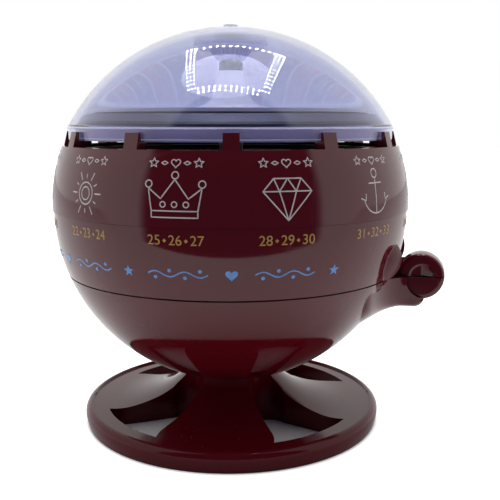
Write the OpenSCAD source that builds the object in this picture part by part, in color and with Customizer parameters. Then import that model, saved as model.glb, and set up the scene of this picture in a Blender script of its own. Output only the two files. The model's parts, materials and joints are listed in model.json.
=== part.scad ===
/* [Body] */
// Outer radius of the coin ring at its widest
body_r = 60; // [58:0.5:62]
// Height of the bowl's lowest point above the table
bowl_z = 14.9; // [14.4:0.1:15.6]
// How far the coin ring stands proud of the shells below it
ring_step = 0.4; // [0.2:0.1:0.8]
// Thickness of the moulded shells
wall = 2.2; // [1.8:0.1:2.6]
// Depth of the line between bowl and middle shell below the body's middle
seam_drop = 21.35; // [20.8:0.05:22]
// Width of the dark gap at the parting line
seam_gap = 0.4; // [0.3:0.1:0.6]

/* [Coin ring] */
// Height of the coin ring's top edge above the body's middle
ring_rise = 20.8; // [20.2:0.1:21.4]
// Diameter of the coin that the machine takes
coin_d = 22.6; // [20:0.1:23]
// Height of a coin slot
slot_h = 2; // [1.8:0.1:2.4]
// Number of coin slots round the ring
slots = 12; // [10:1:12]
// Width of a post between two coin slots
post_w = 4.6; // [3.6:0.1:4.8]
// Height of a post above the slot's roof
post_h = 2.6; // [2:0.1:3]

/* [Dome] */
// Width of the ring's top edge outside the dome's upright band
dome_inset = 2.35; // [2:0.05:2.8]
// Height of the vault above the upright band
dome_rise = 32.9; // [32:0.1:34]
// Thickness of the dome
dome_wall = 1.8; // [1.4:0.1:2]
// Height of the upright band at the dome's edge
skirt_h = 3.7; // [3.2:0.1:4]
// Radius of the crown under the dome's top
crown_r = 12.5; // [11.5:0.1:13.5]

/* [Roulette] */
// Gap between the numbered wheel and the tray's rim
wheel_gap = 1.6; // [1:0.1:2.5]
// Height of the wheel's top face above the tray's floor
wheel_lift = 6.3; // [5.8:0.1:6.8]
// Thickness of the wheel
wheel_t = 1; // [0.8:0.1:1.1]
// Number of pockets on the wheel
pockets = 36; // [24:1:38]
// Height of the cap on the bell's tip
cap_h = 3.2; // [2.4:0.1:3.8]
// Radius of the bell's tip
bell_tip_r = 4.15; // [3.5:0.05:4.6]
// Radius of the spindle
spindle_r = 1.5; // [1.2:0.1:1.8]
// Gap between the tray and the dome's upright band
tray_gap = 0.5; // [0.3:0.1:1]

/* [Stand] */
// Radius of the stand's foot ring
stand_r = 51.6; // [50:0.1:54]
// Width of the foot ring
foot_w = 7.6; // [7:0.1:9]
// Thickness of the stand's walls
stand_wall = 2; // [1.6:0.1:2.4]
// Height of the foot ring
foot_h = 6.4; // [5.8:0.1:7.2]
// Turn of the stand's legs away from the lever
stand_turn = 7; // [0:1:20]
// Radius of the clamping screw
clamp_screw_r = 2.5; // [2:0.1:3]

/* [Lever] */
// Radius of the lever's round grip
grip_r = 7.7; // [7:0.1:8]
// Distance of the grip's centre from the body's side
grip_out = 9.25; // [9:0.05:10]
// Thickness of the grip
grip_t = 9.4; // [8.6:0.1:10]
// Travel of the lever
lever_travel = 13; // [11:0.5:13]
// Width of the lever's arm
arm_w = 8.4; // [7:0.1:8.4]
// Height of the lever's arm
arm_h = 4.5; // [4:0.1:4.6]

/* [Fortune rolls] */
// Diameter of a rolled fortune slip
roll_d = 7.6; // [7:0.1:7.6]
// Length of a rolled fortune slip
roll_l = 21.8; // [20:0.1:21.8]
// Slope of the outlet ramp in degrees
ramp_slope = 17.5; // [15:0.5:18]

/* [Gears] */
// Tooth size (module) of rack and gears
gear_m = 1; // [0.9:0.05:1]
// Teeth of the small gears
small_teeth = 12; // [12:1:13]
// Least gap between the large gear and the shell
gear_play = 0.5; // [0.4:0.1:1.5]
// Pressure angle of the teeth
press_angle = 25; // [22:1:27]
// Backlash, taken off each tooth's thickness
backlash = 0.16; // [0.1:0.02:0.24]
// Thickness of the large gear
gear_t = 3.5; // [3:0.1:4]

/* [Fits] */
// Gap between moving neighbours
run_gap = 0.3; // [0.25:0.05:0.35]
// Radial clearance of a shaft in its hole
shaft_gap = 0.05; // [0.03:0.01:0.08]
// Side clearance of the lever in its slot
slot_gap = 0.4; // [0.3:0.05:0.5]

/* [Hidden] */
$fn = 96;
eps = 0.01;
maroon = [0.36, 0.04, 0.09];
black = [0.06, 0.06, 0.07];
steel = [0.72, 0.73, 0.75];
lilac = [0.62, 0.64, 0.86, 0.45];
white = [0.93, 0.92, 0.98];

// Spheres of the body
shell_r = body_r - ring_step;
shell_in = shell_r - wall;
body_z = bowl_z + shell_r;
seam_z = body_z - seam_drop;
seam_r = sphere_at(shell_r, seam_drop);
ring_top_z = body_z + ring_rise;
ring_z = body_z + ring_step / 2;
ring_in = body_r - wall - ring_step / 2;
mid_z = seam_z + seam_gap;
tongue_t = 1;
tongue_h = 2;
tongue_r = sphere_at(shell_in, seam_drop) + tongue_t + 0.1;
seat_z = seam_z + tongue_h;
ring_skirt_h = 4;
ring_skirt_t = 1.3;
ring_skirt_r = sphere_at(shell_in, ring_skirt_h) - run_gap;

// Coin level
slot_z = ring_top_z + slot_h;
post_top = slot_z + post_h;
ring_top_r = sphere_at(body_r, ring_top_z - ring_z);
post_top_r = ring_top_r - (post_h + slot_h) / 4;
tab_w = 2.6;
post_root = 1;
post_in = ring_top_r - 1.75;
ledge_z = ring_top_z - 2.9;
ledge_t = 1.6;
flange_t = 1.6;

// Dome: a cap of a sphere over an upright band
lip = 0.4;
skirt_r = ring_top_r - dome_inset;
skirt_in = skirt_r - dome_wall;
rim_z = slot_z + skirt_h;
vault_r = skirt_r + lip;
dome_r = (vault_r * vault_r + dome_rise * dome_rise) / (2 * dome_rise);
dome_in = dome_r - dome_wall;
dome_top_z = rim_z + dome_rise;
dome_z = dome_top_z - dome_r;
nub_r = 2.4;
nub_h = 0.8;
crown_z = dome_top_z - 6.2;
boss_r = 5;
boss_z = dome_top_z - 5.3;

// Bush under the crown, in which the spindle turns
bush_flange_r = crown_r - 1.4;
bush_flange_t = 1.4;
bush_z = boss_z - 5.2;
bush_top_r = 6.95;
bush_tip_r = 4.65;
spindle_end = boss_z + 1.6;

// Tray and wheel
tray_r = skirt_in - tray_gap;
tab_in = tray_r - 1.7;
tray_floor = slot_z + 1.3;
tray_t = 1.5;
tray_collar = 3.9;
tray_rim_z = slot_z + 5.6;
tray_bevel_z = slot_z + 7.5;
bevel_r = sphere_at(dome_in, tray_bevel_z - dome_z) - 1;
bevel_t = 1;
wheel_r = bevel_r - bevel_t - wheel_gap;
wheel_z = tray_floor + tray_t + wheel_lift;
cap_gap = 0.4;
bell_z = bush_z - cap_gap - cap_h;
bell_flare = 3.6;
bell_brim = 12.2;
bell_core = 1.2;

// Lever level
arm_z = seam_z + 0.35;
arm_top = arm_z + arm_h;
floor_z = arm_top - roll_d - 0.1;
floor_t = 1.7;
plate_z = arm_top + run_gap;
plate_t = 2;
plate_top = plate_z + plate_t;
plate_r = sphere_at(shell_in, plate_z - body_z) - 0.5;
floor_r = sphere_at(shell_in, floor_z - floor_t - body_z) - 1.5;

// Carriage for one roll. The room that its travel leaves between the spindle's pinion and the
// bowl's wall is shared out before and behind it
wall_y = sphere_at(shell_in, floor_z - body_z);
roll_gap = 0.3;
pocket_w = roll_d + 2 * roll_gap;
pocket_l = roll_l + 2 * roll_gap;
hopper_wall = 1.4;
spare_room = wall_y - lever_travel - pocket_l - hopper_wall - gear_m * (small_teeth / 2 + 1);
pocket_front = wall_y - lever_travel - 0.37 * spare_room;
pocket_end = pocket_front - pocket_l;
carriage_wall = 1.2;
carriage_w = pocket_w + 2 * carriage_wall;
carriage_z = floor_z + run_gap;
carriage_back = pocket_end - carriage_wall;
carriage_nose = 3.6;
carriage_front = pocket_front + carriage_wall + carriage_nose;
tail_t = 1.4;
tail_end = 3;
ramp_front = pocket_front + 0.5;

// Hook of the lever's arm, which drops into a T-slot in the carriage's nose
hook_w = 5.6;
hook_t = 1.2;
hook_y = pocket_front + carriage_wall + 0.6;
neck_w = 3;
hook_gap = 0.1;

// Gears
small_r = gear_m * small_teeth / 2;
tip = gear_m;
root = 1.25 * gear_m;
gear_z = plate_top + 1;
gear_room = sphere_at(shell_in, gear_z - body_z) - gear_play;
large_teeth = floor((gear_room - tip - small_r) / gear_m);
large_r = gear_m * large_teeth / 2;
axle_x = small_r + large_r;
pinion_z = carriage_z + 0.4;
pinion_h = 5.5;
rack_z = pinion_z + 0.3;
rack_h = pinion_h - 1;
rack_x = axle_x - small_r;
rack_back = 2.6;
rack_rear = lever_travel + small_r + 0.5;
rack_front = carriage_back + 7.6;
bar_x = rack_x - rack_back - root;
bar_l = 6;
bar_z = carriage_z + 0.4;
bar_t = 2.6;
rack_foot_t = 1.4;
rack_foot_w = 6;
rack_screw_x = bar_x - 3;
rack_screw_y = [-rack_front + 1.5, -rack_front + 4.5];
rack_screw_r = 1;
rack_screw_head_r = 2;
rack_screw_head_h = 1;
drive_z = gear_z - 0.3;
drive_h = gear_t + 0.6;
washer_t = 1;
washer_r = 5.5;
disc_z = drive_z + drive_h + washer_t + run_gap;
disc_r = washer_r + 1;
disc_t = 1.6;
disc_hub_r = 3.4;
disc_hub_h = 5.5;

// Return spring
spring_x = 12;
spring_z = arm_z + 0.8;
spring_wire = 0.8;
spring_r = 2.9;
spring_turns = 7;
spring_l = 23;
spring_front = floor_r - 6.72;
spring_rear = spring_front - spring_l;
stop_t = 2.5;
lug_t = 3;

// Coin way
chute_t = 1.4;
coin_play = 1.4;
chute_r = coin_d / 2 + coin_play + chute_t;
chute_y = floor_r - chute_r - 7.6;
chute_top = body_z - 0.5;
funnel_t = 1.5;
funnel_r = sphere_at(ring_in, ledge_z - ring_z) - 0.9;
funnel_cone_r = funnel_r - 2.4;
tower_r = 4;
tower_z = slot_z - 0.8;

// Outlet below the grip; the spout's places are counted out from the body's side
outlet_half = roll_d / 2 + roll_gap + 0.1;
grip_y = seam_r + grip_out;
spout_root = -11.65;
spout_foot = -5.15;
spout_bend = 2.85;
spout_end = grip_out + 1.3;
spout_round = 3.4;
spout_tip_w = 6.3;
// Round edge of the spout's walls: its radius, and how far its centre lies outside and below the grip's
spout_edge_r = 6.1;
spout_edge_at = [1.6, 0.9];
spout_foot_w = 21;
spout_keel = 10.75;
spout_foot_keel = 18.5;
grip_gap = 0.4;
ramp_run = wall_y - ramp_front;
ramp_drop = ramp_run * tan(ramp_slope);

// Ears beside the slot: two low bumps, cut off on the side that faces the grip
ear_at = [11.6, -seam_r + 5.5, seam_z + 7.4];
ear_r = 8.8;
ear_gap_low = 7.2;
ear_gap_high = 14.5;
ear_gap_h = 13;

lug_angles = [45, 135, 225, 315];
lug_r = sphere_at(shell_in, plate_top - body_z) - 5.6;
lug_boss_r = 3.8;
lug_h = 7;
pillar_at = floor_r - 8.1;
pillar_x = pillar_at * cos(35.2);
pillar_y = pillar_at * sin(35.2);
pillar_r = 3.6;
screw_r = 1.5;
screw_head_r = 2.8;
screw_head_h = 1.8;

function sphere_at(r, dz) = sqrt(r * r - dz * dz);

// Involute of a circle: the point at roll-off angle a
function involute(rb, a) = rb * [cos(a) + a * PI / 180 * sin(a), sin(a) - a * PI / 180 * cos(a)];
function turn(p, a) = [p.x * cos(a) - p.y * sin(a), p.x * sin(a) + p.y * cos(a)];
function roll_off(rb, r) = sqrt(max(0, r * r / (rb * rb) - 1)) * 180 / PI;
function polar_of(rb, r) = let (p = involute(rb, roll_off(rb, r))) atan2(p.y, p.x);

// One flank from root to tip, mirrored for the other side of the tooth
function tooth(n, flank_steps = 4) =
    let (rp = gear_m * n / 2, rb = rp * cos(press_angle), rt = rp + tip, rr = rp - root)
    let (half = 90 / n - backlash / rp * 90 / PI + polar_of(rb, rp))
    let (start = max(rb, rr))
    let (side = [for (i = [0:flank_steps])
        let (r = start + (rt - start) * i / flank_steps) turn(involute(rb, roll_off(rb, r)), -half)])
    concat([turn([rr, 0], -half)], side, [for (i = [flank_steps:-1:0]) [side[i].x, -side[i].y]],
        [turn([rr, 0], half)]);

module gear_2d(n) {
    polygon([for (k = [0:n - 1]) each [for (p = tooth(n)) turn(p, k * 360 / n)]]);
}

module ring_solid(r_out, r_in, h) {
    rotate_extrude() translate([r_in, 0]) square([r_out - r_in, h]);
}

// Everything between two heights
module slab(z0, z1) {
    translate([-2 * body_r, -2 * body_r, z0]) cube([4 * body_r, 4 * body_r, z1 - z0]);
}

module shell(r_out, r_in, zc, z0, z1) {
    intersection() {
        translate([0, 0, zc]) difference() {
            sphere(r_out, $fn = 180);
            sphere(r_in, $fn = 180);
        }
        slab(z0, z1);
    }
}

// A pan-head screw along +Z: the head lies below z = 0
module screw(r, l, head_r, head_h) {
    cylinder(r = r, h = l);
    difference() {
        translate([0, 0, -head_h]) union() {
            translate([0, 0, 0.5]) cylinder(r = head_r, h = head_h - 0.5);
            cylinder(r1 = head_r - 0.5, r2 = head_r, h = 0.5);
        }
        for (a = [0, 90]) rotate(a)
            translate([-head_r * 0.6, -0.35, -head_h - eps]) cube([head_r * 1.2, 0.7, head_h / 2]);
    }
}

// Half width of a stand opening at distance r from the axis
window_r = stand_r - foot_w;
window_in = 13.8;
window_round = 6.8;
leg_inner = window_in + 0.6;
leg_outer = window_r - 0.6;
flare_at = window_r - 11;
function window_half(r) = r * sin(18.4 + 7.5 * pow(max(0, (r - flare_at) / (window_r - flare_at)), 3));

module window_2d(inset = 0) {
    r0 = window_in + window_round;
    steps = 12;
    side = [for (i = [0:steps])
        let (r = r0 + (window_r + inset - r0) * i / steps) [r, window_half(min(r, window_r)) + inset]];
    intersection() {
        circle(window_r + inset, $fn = 144);
        union() {
            translate([r0, 0]) circle(window_round + inset, $fn = 48);
            polygon(concat(side, [for (i = [steps:-1:0]) [side[i].x, -side[i].y]]));
        }
    }
}

// Stand: a column, four legs and a foot ring, all open below
seat_base = bowl_z - 1.4;
column_r = 16;
column_z = bowl_z + 2.3;
column_floor = seat_base - 2;
skin_low = foot_h - 0.7;
skin_end = stand_r - 4;
skin_shape = [[0, 1], [0.05, 0.8], [0.13, 0.6], [0.24, 0.4], [0.38, 0.23], [0.57, 0.09],
    [0.76, 0.02], [1, 0]];
skin = [for (p = skin_shape)
    [column_r + (skin_end - column_r) * p.x, skin_low + (column_z - skin_low) * p.y]];
bead_r = 2.3;
rim_taper = 0.8;
rim_step = 0.4;
ring_wall = 2.4;
bowl_foot_r = 11;
clamp_gap = 0.2;
clamp_head_r = 5;
clamp_head_h = 3;
clamp_seat = column_floor - 3.9;
clamp_end = floor_z - 4.5;

module stand_profile() {
    polygon(concat([[0, 0], [0, column_z]], skin, [
        [stand_r - bead_r - rim_step, skin_low]],
        [for (a = [90:-15:0]) [stand_r - bead_r + bead_r * cos(a), foot_h - bead_r + bead_r * sin(a)]],
        [[stand_r, foot_h / 2], [stand_r - rim_taper / 3, foot_h / 4], [stand_r - rim_taper, 0]]));
}

// The whole stand, of which the nodes take their share
module stand_body() {
    rotate(stand_turn) difference() {
        rotate_extrude($fn = 180) stand_profile();
        for (a = [45:90:315]) rotate(a) translate([0, 0, -1])
            linear_extrude(column_z + 3) window_2d();
        // Hollow under the legs and the ring
        difference() {
            rotate_extrude($fn = 180) polygon(concat([[6, -1], [6, column_floor - 2]],
                [for (p = skin) if (p.x > column_r + 1) [p.x, p.y - stand_wall]],
                [[stand_r - ring_wall, foot_h - 2.4], [stand_r - ring_wall, -1]]));
            for (a = [45:90:315]) rotate(a) translate([0, 0, -2])
                linear_extrude(column_z + 4) window_2d(stand_wall);
        }
        // Seat for the bowl and the screw's way through
        translate([0, 0, seat_base]) cylinder(r = bowl_foot_r + clamp_gap, h = 10);
        translate([0, 0, body_z]) sphere(shell_r + 0.15, $fn = 180);
        translate([0, 0, -1]) cylinder(r = clamp_screw_r + clamp_gap, h = seat_base + 2);
        translate([0, 0, -1]) cylinder(r = clamp_head_r + 0.8, h = column_floor - 2.9);
    }
}

module base_stand() color(maroon) {
    intersection() {
        stand_body();
        translate([0, 0, -1]) cylinder(r = leg_inner, h = column_z + 2, $fn = 144);
    }
}

module stand_legs() color(maroon) {
    intersection() {
        stand_body();
        translate([0, 0, -1]) difference() {
            cylinder(r = leg_outer, h = column_z + 2, $fn = 144);
            translate([0, 0, -1]) cylinder(r = leg_inner, h = column_z + 4, $fn = 144);
        }
    }
}

module foot_ring() color(maroon) {
    difference() {
        stand_body();
        translate([0, 0, -1]) cylinder(r = leg_outer, h = column_z + 2, $fn = 144);
    }
}

module base_screw() color(steel) {
    translate([0, 0, clamp_seat]) screw(clamp_screw_r, clamp_end - clamp_seat, clamp_head_r,
        clamp_head_h);
}

// Half width and depth of the spout at distance d from the body's side
round_at = spout_end - spout_round;
function spout_half(d) = spout_tip_w + (spout_foot_w - spout_tip_w)
    * pow(min(1, (spout_end - d) / (spout_end - spout_foot)), 3.3);
function spout_deep(d) = spout_keel + (spout_foot_keel - spout_keel)
    * pow(max(0, (spout_bend - d) / (spout_bend - spout_root)), 1.6)
    - (d > round_at ? spout_round - sqrt(max(0.04, spout_round * spout_round - pow(d - round_at, 2))) : 0);

// The spout grows out of the bowl as one flared horn, cut level at the seam
module spout_horn() {
    n = 12;
    places = [spout_root, spout_foot - 2.5, spout_foot, spout_foot + 1.5, spout_foot + 3,
        spout_foot + 4.5, spout_foot + 6, spout_bend, spout_bend + 2, round_at, spout_end - 1.8,
        spout_end - 0.7, spout_end];
    rows = len(places);
    pts = [for (d = places) for (i = [0:n])
        let (t = i * 180 / n, k = min(1, max(0, (d - spout_foot + 0.5) / 8)))
        let (c = cos(t), s = sin(t))
        [spout_half(d) * (k * sign(c) * pow(abs(c), 0.75) + (1 - k) * c), -seam_r - d,
            seam_z - spout_deep(d) * (k * pow(s, 0.6) + (1 - k) * s)]];
    w = n + 1;
    side = [for (j = [0:rows - 2]) for (i = [0:n - 1])
        each [[j * w + i, (j + 1) * w + i + 1, (j + 1) * w + i],
            [j * w + i, j * w + i + 1, (j + 1) * w + i + 1]]];
    lid = [for (j = [0:rows - 2])
        each [[j * w, (j + 1) * w + n, j * w + n], [j * w, (j + 1) * w, (j + 1) * w + n]]];
    ends = [for (i = [1:n - 1]) each [[0, i + 1, i],
        [(rows - 1) * w, (rows - 1) * w + i, (rows - 1) * w + i + 1]]];
    polyhedron(points = pts, faces = concat(side, lid, ends), convexity = 4);
}

// Side view of the way that a roll takes out, from the floor's edge to the lip
cradle_z = seam_z - spout_keel + 1.5;
cradle_end = seam_r + spout_end - 1.4;
function outlet_floor() = [[ramp_front, floor_z], [wall_y, floor_z - ramp_drop],
    [seam_r + spout_bend - 0.5, cradle_z], [cradle_end, cradle_z]];

module outlet_cut() {
    rotate([90, 0, -90]) translate([0, 0, -outlet_half]) linear_extrude(2 * outlet_half)
        polygon(concat(outlet_floor(), [[cradle_end, seam_z + 5], [ramp_front, seam_z + 5]]));
}

module lower_bowl() color(maroon) {
    difference() {
        union() {
            difference() {
                union() {
                    intersection() {
                        translate([0, 0, body_z]) sphere(shell_r, $fn = 180);
                        slab(0, seam_z);
                    }
                    spout_horn();
                }
                translate([0, 0, body_z]) sphere(shell_in, $fn = 180);
            }
            // Tongue that the middle shell sits on
            translate([0, 0, seam_z - 3]) ring_solid(tongue_r, tongue_r - tongue_t, 3 + tongue_h);
            // Foot that stands in the column
            translate([0, 0, seat_base]) cylinder(r = bowl_foot_r, h = 5.5);
        }
        translate([0, 0, seat_base - 1]) cylinder(r = clamp_screw_r + clamp_gap, h = 10);
        translate([0, 0, seat_base + 2.4]) cylinder(r = centre_boss_r + 1, h = 8);
        outlet_cut();
        // Room for the grip between the spout's walls, and their round edge
        translate([-grip_t / 2 - grip_gap, -grip_y, seam_z]) rotate([0, 90, 0])
            cylinder(r = grip_r + grip_gap, h = grip_t + 2 * grip_gap);
        translate([-30, -grip_y - spout_edge_at.x, seam_z - spout_edge_at.y]) rotate([0, 90, 0])
            cylinder(r = spout_edge_r, h = 60);
        translate([-arm_w / 2 - slot_gap, -seam_r - 15, seam_z - eps])
            cube([arm_w + 2 * slot_gap, 30, 10]);
    }
}

module ears() {
    difference() {
        intersection() {
            for (side = [-1, 1]) translate([side * ear_at.x, ear_at.y, ear_at.z]) sphere(ear_r);
            slab(mid_z, body_z);
        }
        // Hollow between the ears, in which two fingers hold the grip
        hull() {
            translate([-ear_gap_low, -seam_r - 15, mid_z - 2]) cube([2 * ear_gap_low, 40, 1]);
            translate([-ear_gap_high, -seam_r - 15, mid_z + ear_gap_h])
                cube([2 * ear_gap_high, 40, 1]);
        }
    }
}

module mid_shell() color(maroon) {
    difference() {
        union() {
            shell(shell_r, shell_in, body_z, mid_z, body_z);
            difference() {
                ears();
                translate([0, 0, body_z]) sphere(shell_in + 0.4, $fn = 180);
            }
            // Lugs that carry the chassis plate
            intersection() {
                for (a = lug_angles) rotate(a) {
                    translate([lug_r, 0, plate_top]) cylinder(r = lug_boss_r, h = lug_h);
                    translate([lug_r, -lug_boss_r, plate_top]) cube([8, 2 * lug_boss_r, lug_h]);
                }
                translate([0, 0, body_z]) sphere(shell_r - 0.8, $fn = 180);
            }
        }
        // Relief that takes the bowl's tongue
        translate([0, 0, mid_z - 1]) cylinder(r = tongue_r + 0.1, h = seat_z - mid_z + 1);
        for (a = lug_angles) rotate(a)
            translate([lug_r, 0, plate_top - 1]) cylinder(r = screw_r, h = lug_h - 0.4);
        // Slot for the lever's arm
        translate([-arm_w / 2 - slot_gap, -seam_r - 20, mid_z - 1])
            cube([arm_w + 2 * slot_gap, 40, arm_top + slot_gap - mid_z + 1]);
        translate([-grip_t / 2 - grip_gap, -grip_y, seam_z]) rotate([0, 90, 0])
            cylinder(r = grip_r + grip_gap, h = grip_t + 2 * grip_gap);
    }
}

// A post between two coin slots, with the tab inside on which the dome stands
module post() {
    intersection() {
        rotate_extrude($fn = 180) polygon([
            [tab_in, ring_top_z], [post_in, ring_top_z], [post_in, ring_top_z - post_root],
            [ring_top_r - 0.5, ring_top_z - post_root], [ring_top_r - 0.05, ring_top_z],
            [post_top_r - 0.05, post_top], [skirt_r + 0.25, post_top], [skirt_r + 0.25, slot_z],
            [tab_in, slot_z]]);
        union() {
            translate([skirt_in - 0.4, -post_w / 2, ring_top_z - 4]) cube([20, post_w, 20]);
            translate([skirt_in - 20, -tab_w / 2, ring_top_z - 4]) cube([40, tab_w, 20]);
        }
    }
}

module upper_ring() color(maroon) {
    difference() {
        union() {
            intersection() {
                translate([0, 0, ring_z]) sphere(body_r, $fn = 180);
                slab(body_z, ring_top_z);
            }
            // Skirt that drops into the middle shell
            translate([0, 0, body_z - ring_skirt_h]) cylinder(r = ring_skirt_r, h = ring_skirt_h + 1);
        }
        translate([0, 0, body_z - ring_skirt_h - 1])
            cylinder(r = ring_skirt_r - ring_skirt_t, h = ring_skirt_h + 4);
        // Room below and above the ledge that carries the coin funnel
        intersection() {
            translate([0, 0, ring_z]) sphere(ring_in, $fn = 180);
            slab(body_z + 2.5, ledge_z - ledge_t);
        }
        intersection() {
            translate([0, 0, ring_z]) sphere(ring_in, $fn = 180);
            slab(ledge_z, ring_top_z + 1);
        }
        translate([0, 0, body_z]) cylinder(r = funnel_cone_r + run_gap, h = 30);
    }
    for (k = [0:slots - 1]) rotate((k + 0.5) * 360 / slots) post();
}

module dome() color(lilac) {
    difference() {
        union() {
            shell(dome_r, dome_in, dome_z, rim_z, dome_top_z + 1);
            translate([0, 0, slot_z]) ring_solid(skirt_r, skirt_in, skirt_h + 0.3);
            // Fine lip where the upright band meets the vault
            translate([0, 0, rim_z - 0.5]) ring_solid(vault_r + 0.1, skirt_in + lip, 0.8);
            // Crown and boss that hold the upper bush
            intersection() {
                translate([0, 0, dome_z]) sphere(dome_in + 0.5, $fn = 180);
                union() {
                    translate([0, 0, crown_z]) ring_solid(crown_r, crown_r - 1.2, 8);
                    translate([0, 0, boss_z]) cylinder(r = boss_r, h = 8);
                }
            }
            translate([0, 0, dome_top_z - 1]) cylinder(r = nub_r, h = nub_h + 1);
        }
        translate([0, 0, boss_z - eps]) cylinder(r = spindle_r + 0.5, h = 2.4);
    }
}

module dome_bush() color(lilac) {
    ribs = 28;
    rib = 0.5;
    root_z = boss_z - bush_flange_t;
    difference() {
        union() {
            translate([0, 0, root_z]) cylinder(r = bush_flange_r, h = bush_flange_t);
            translate([0, 0, bush_z])
                cylinder(r1 = bush_tip_r - rib, r2 = bush_top_r - rib, h = root_z - bush_z);
            for (k = [0:ribs - 1]) rotate(k * 360 / ribs) rotate([90, 0, 0])
                translate([0, 0, -0.2]) linear_extrude(0.4) polygon([
                    [bush_tip_r - 1.2, bush_z], [bush_tip_r, bush_z],
                    [bush_top_r, root_z - 1], [bush_top_r, root_z], [3, root_z]]);
        }
        translate([0, 0, bush_z - 1]) cylinder(r = spindle_r + shaft_gap, h = 10);
    }
}

module roulette_tray() color(black) {
    top = tray_floor + tray_t;
    hub_r = spindle_r + 0.6;
    rotate_extrude($fn = 180) polygon([
        [hub_r, tray_floor], [tray_r - 3.7, tray_floor], [tray_r - 1.5, slot_z],
        [tray_r, slot_z], [tray_r, tray_rim_z - 1], [tray_r - 0.9, tray_rim_z],
        [bevel_r, tray_bevel_z], [bevel_r - bevel_t, tray_bevel_z],
        [bevel_r - bevel_t - 0.6, top + 1.5], [bevel_r - bevel_t - 2, top],
        [hub_r + tray_collar + 2, top], [hub_r + tray_collar, top + 2], [hub_r, top + 2]]);
}

// Two discs joined by a slanting skin
module slant_cone(r_top, z_top, r_low, z_low) {
    hull() {
        translate([0, 0, z_top]) cylinder(r = r_top, h = eps, $fn = 64);
        translate([0, chute_y, z_low]) cylinder(r = r_low, h = eps, $fn = 64);
    }
}

module coin_funnel() color(black) {
    difference() {
        union() {
            translate([0, 0, ledge_z]) ring_solid(funnel_r, funnel_cone_r - 1, flange_t);
            slant_cone(funnel_cone_r, ledge_z + eps, chute_r, chute_top);
        }
        difference() {
            slant_cone(funnel_cone_r - funnel_t, ledge_z + 2 * eps, chute_r - funnel_t,
                chute_top - 2 * eps);
            // Tower that keeps coins off the spindle
            cylinder(r = tower_r, h = 200);
        }
        translate([0, 0, ledge_z - eps]) cylinder(r = funnel_cone_r - funnel_t, h = 5);
        translate([0, 0, 50]) cylinder(r = spindle_r + 0.8, h = 60);
    }
    difference() {
        translate([0, 0, ledge_z - 4]) cylinder(r = tower_r, h = tower_z - ledge_z + 4);
        translate([0, 0, 50]) cylinder(r = spindle_r + 0.8, h = 60);
    }
}

module coin_chute() color(black) {
    difference() {
        union() {
            translate([0, chute_y, floor_z - floor_t - 1.5])
                cylinder(r = chute_r, h = chute_top - run_gap - floor_z + floor_t + 1.5);
            translate([0, chute_y, plate_top]) cylinder(r = chute_r + 1.4, h = 0.9);
        }
        translate([0, chute_y, floor_z - 10]) cylinder(r = chute_r - chute_t, h = 60);
    }
}

axle_boss_h = 0.4;
centre_boss_r = 5.5;

module chassis_floor() color(black) {
    difference() {
        union() {
            translate([0, 0, floor_z - floor_t]) cylinder(r = floor_r, h = floor_t, $fn = 144);
            // Centre boss: the clamping screw below, the spindle's bush above
            translate([0, 0, floor_z - 12]) cylinder(r = centre_boss_r, h = 12);
            translate([0, 0, floor_z]) cylinder(r = centre_boss_r, h = bush_h + 0.2);
            translate([-axle_x, 0, floor_z - 5]) cylinder(r = 4, h = 5 + axle_boss_h);
            // Stop of the return spring
            translate([spring_x - 4, -spring_front - stop_t, floor_z - eps])
                cube([8, stop_t, spring_z + 3.2 - floor_z]);
        }
        translate([0, 0, floor_z - 13]) cylinder(r = clamp_screw_r, h = clamp_end - floor_z + 13);
        translate([0, 0, floor_z - bush_sunk]) cylinder(r = bush_r, h = 5);
        translate([-axle_x, 0, floor_z - 6]) cylinder(r = spindle_r, h = 10);
        translate([0, chute_y, 0]) cylinder(r = chute_r + 0.1, h = 100);
        translate([spring_x, -spring_front + 5, spring_z]) rotate([90, 0, 0])
            cylinder(r = spindle_r, h = 10);
        // Opening over the outlet ramp
        translate([-outlet_half - ramp_t, -floor_r - 5, floor_z - floor_t - 1])
            cube([2 * (outlet_half + ramp_t), floor_r + 5 - ramp_front, floor_t + 2]);
        for (x = [-pillar_x, pillar_x], y = [-pillar_y, pillar_y])
            translate([x, y, floor_z - 5]) cylinder(r = screw_r, h = 10);
    }
}

module chassis_plate() color(black) {
    difference() {
        union() {
            translate([0, 0, plate_z]) cylinder(r = plate_r, h = plate_t, $fn = 144);
            translate([0, 0, plate_top - eps]) cylinder(r = 4, h = 0.4);
        }
        for (x = [-pillar_x, pillar_x], y = [-pillar_y, pillar_y])
            translate([x, y, plate_z - 1]) cylinder(r = screw_r, h = plate_t + 2);
        for (a = lug_angles) rotate(a)
            translate([lug_r, 0, plate_z - 1]) cylinder(r = screw_r, h = plate_t + 2);
        translate([0, 0, plate_z - 1]) cylinder(r = spindle_r + shaft_gap * 2, h = plate_t + 3);
        translate([-axle_x, 0, plate_z - 1]) cylinder(r = small_r + tip + 1, h = plate_t + 2);
        translate([0, chute_y, 0]) cylinder(r = chute_r + 0.1, h = 100);
        translate([-pocket_w / 2, -pocket_front, plate_z - 1])
            cube([pocket_w, pocket_l, plate_t + 2]);
    }
}

// Spacers that hold the plate off the floor, each round its screw
module frame_pillars() color(black) {
    for (x = [-pillar_x, pillar_x], y = [-pillar_y, pillar_y])
        translate([x, y, floor_z]) difference() {
            cylinder(r = pillar_r, h = plate_z - floor_z);
            translate([0, 0, -1]) cylinder(r = screw_r, h = plate_z - floor_z + 2);
        }
}

module chassis_screws() color(steel) {
    for (a = lug_angles) rotate(a) translate([lug_r, 0, plate_z])
        screw(screw_r, plate_t + lug_h - 2, screw_head_r, screw_head_h);
}

module frame_screws() color(steel) {
    for (x = [-pillar_x, pillar_x], y = [-pillar_y, pillar_y])
        translate([x, y, floor_z - floor_t])
            screw(screw_r, plate_top - floor_z + floor_t, screw_head_r, screw_head_h);
}

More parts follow.
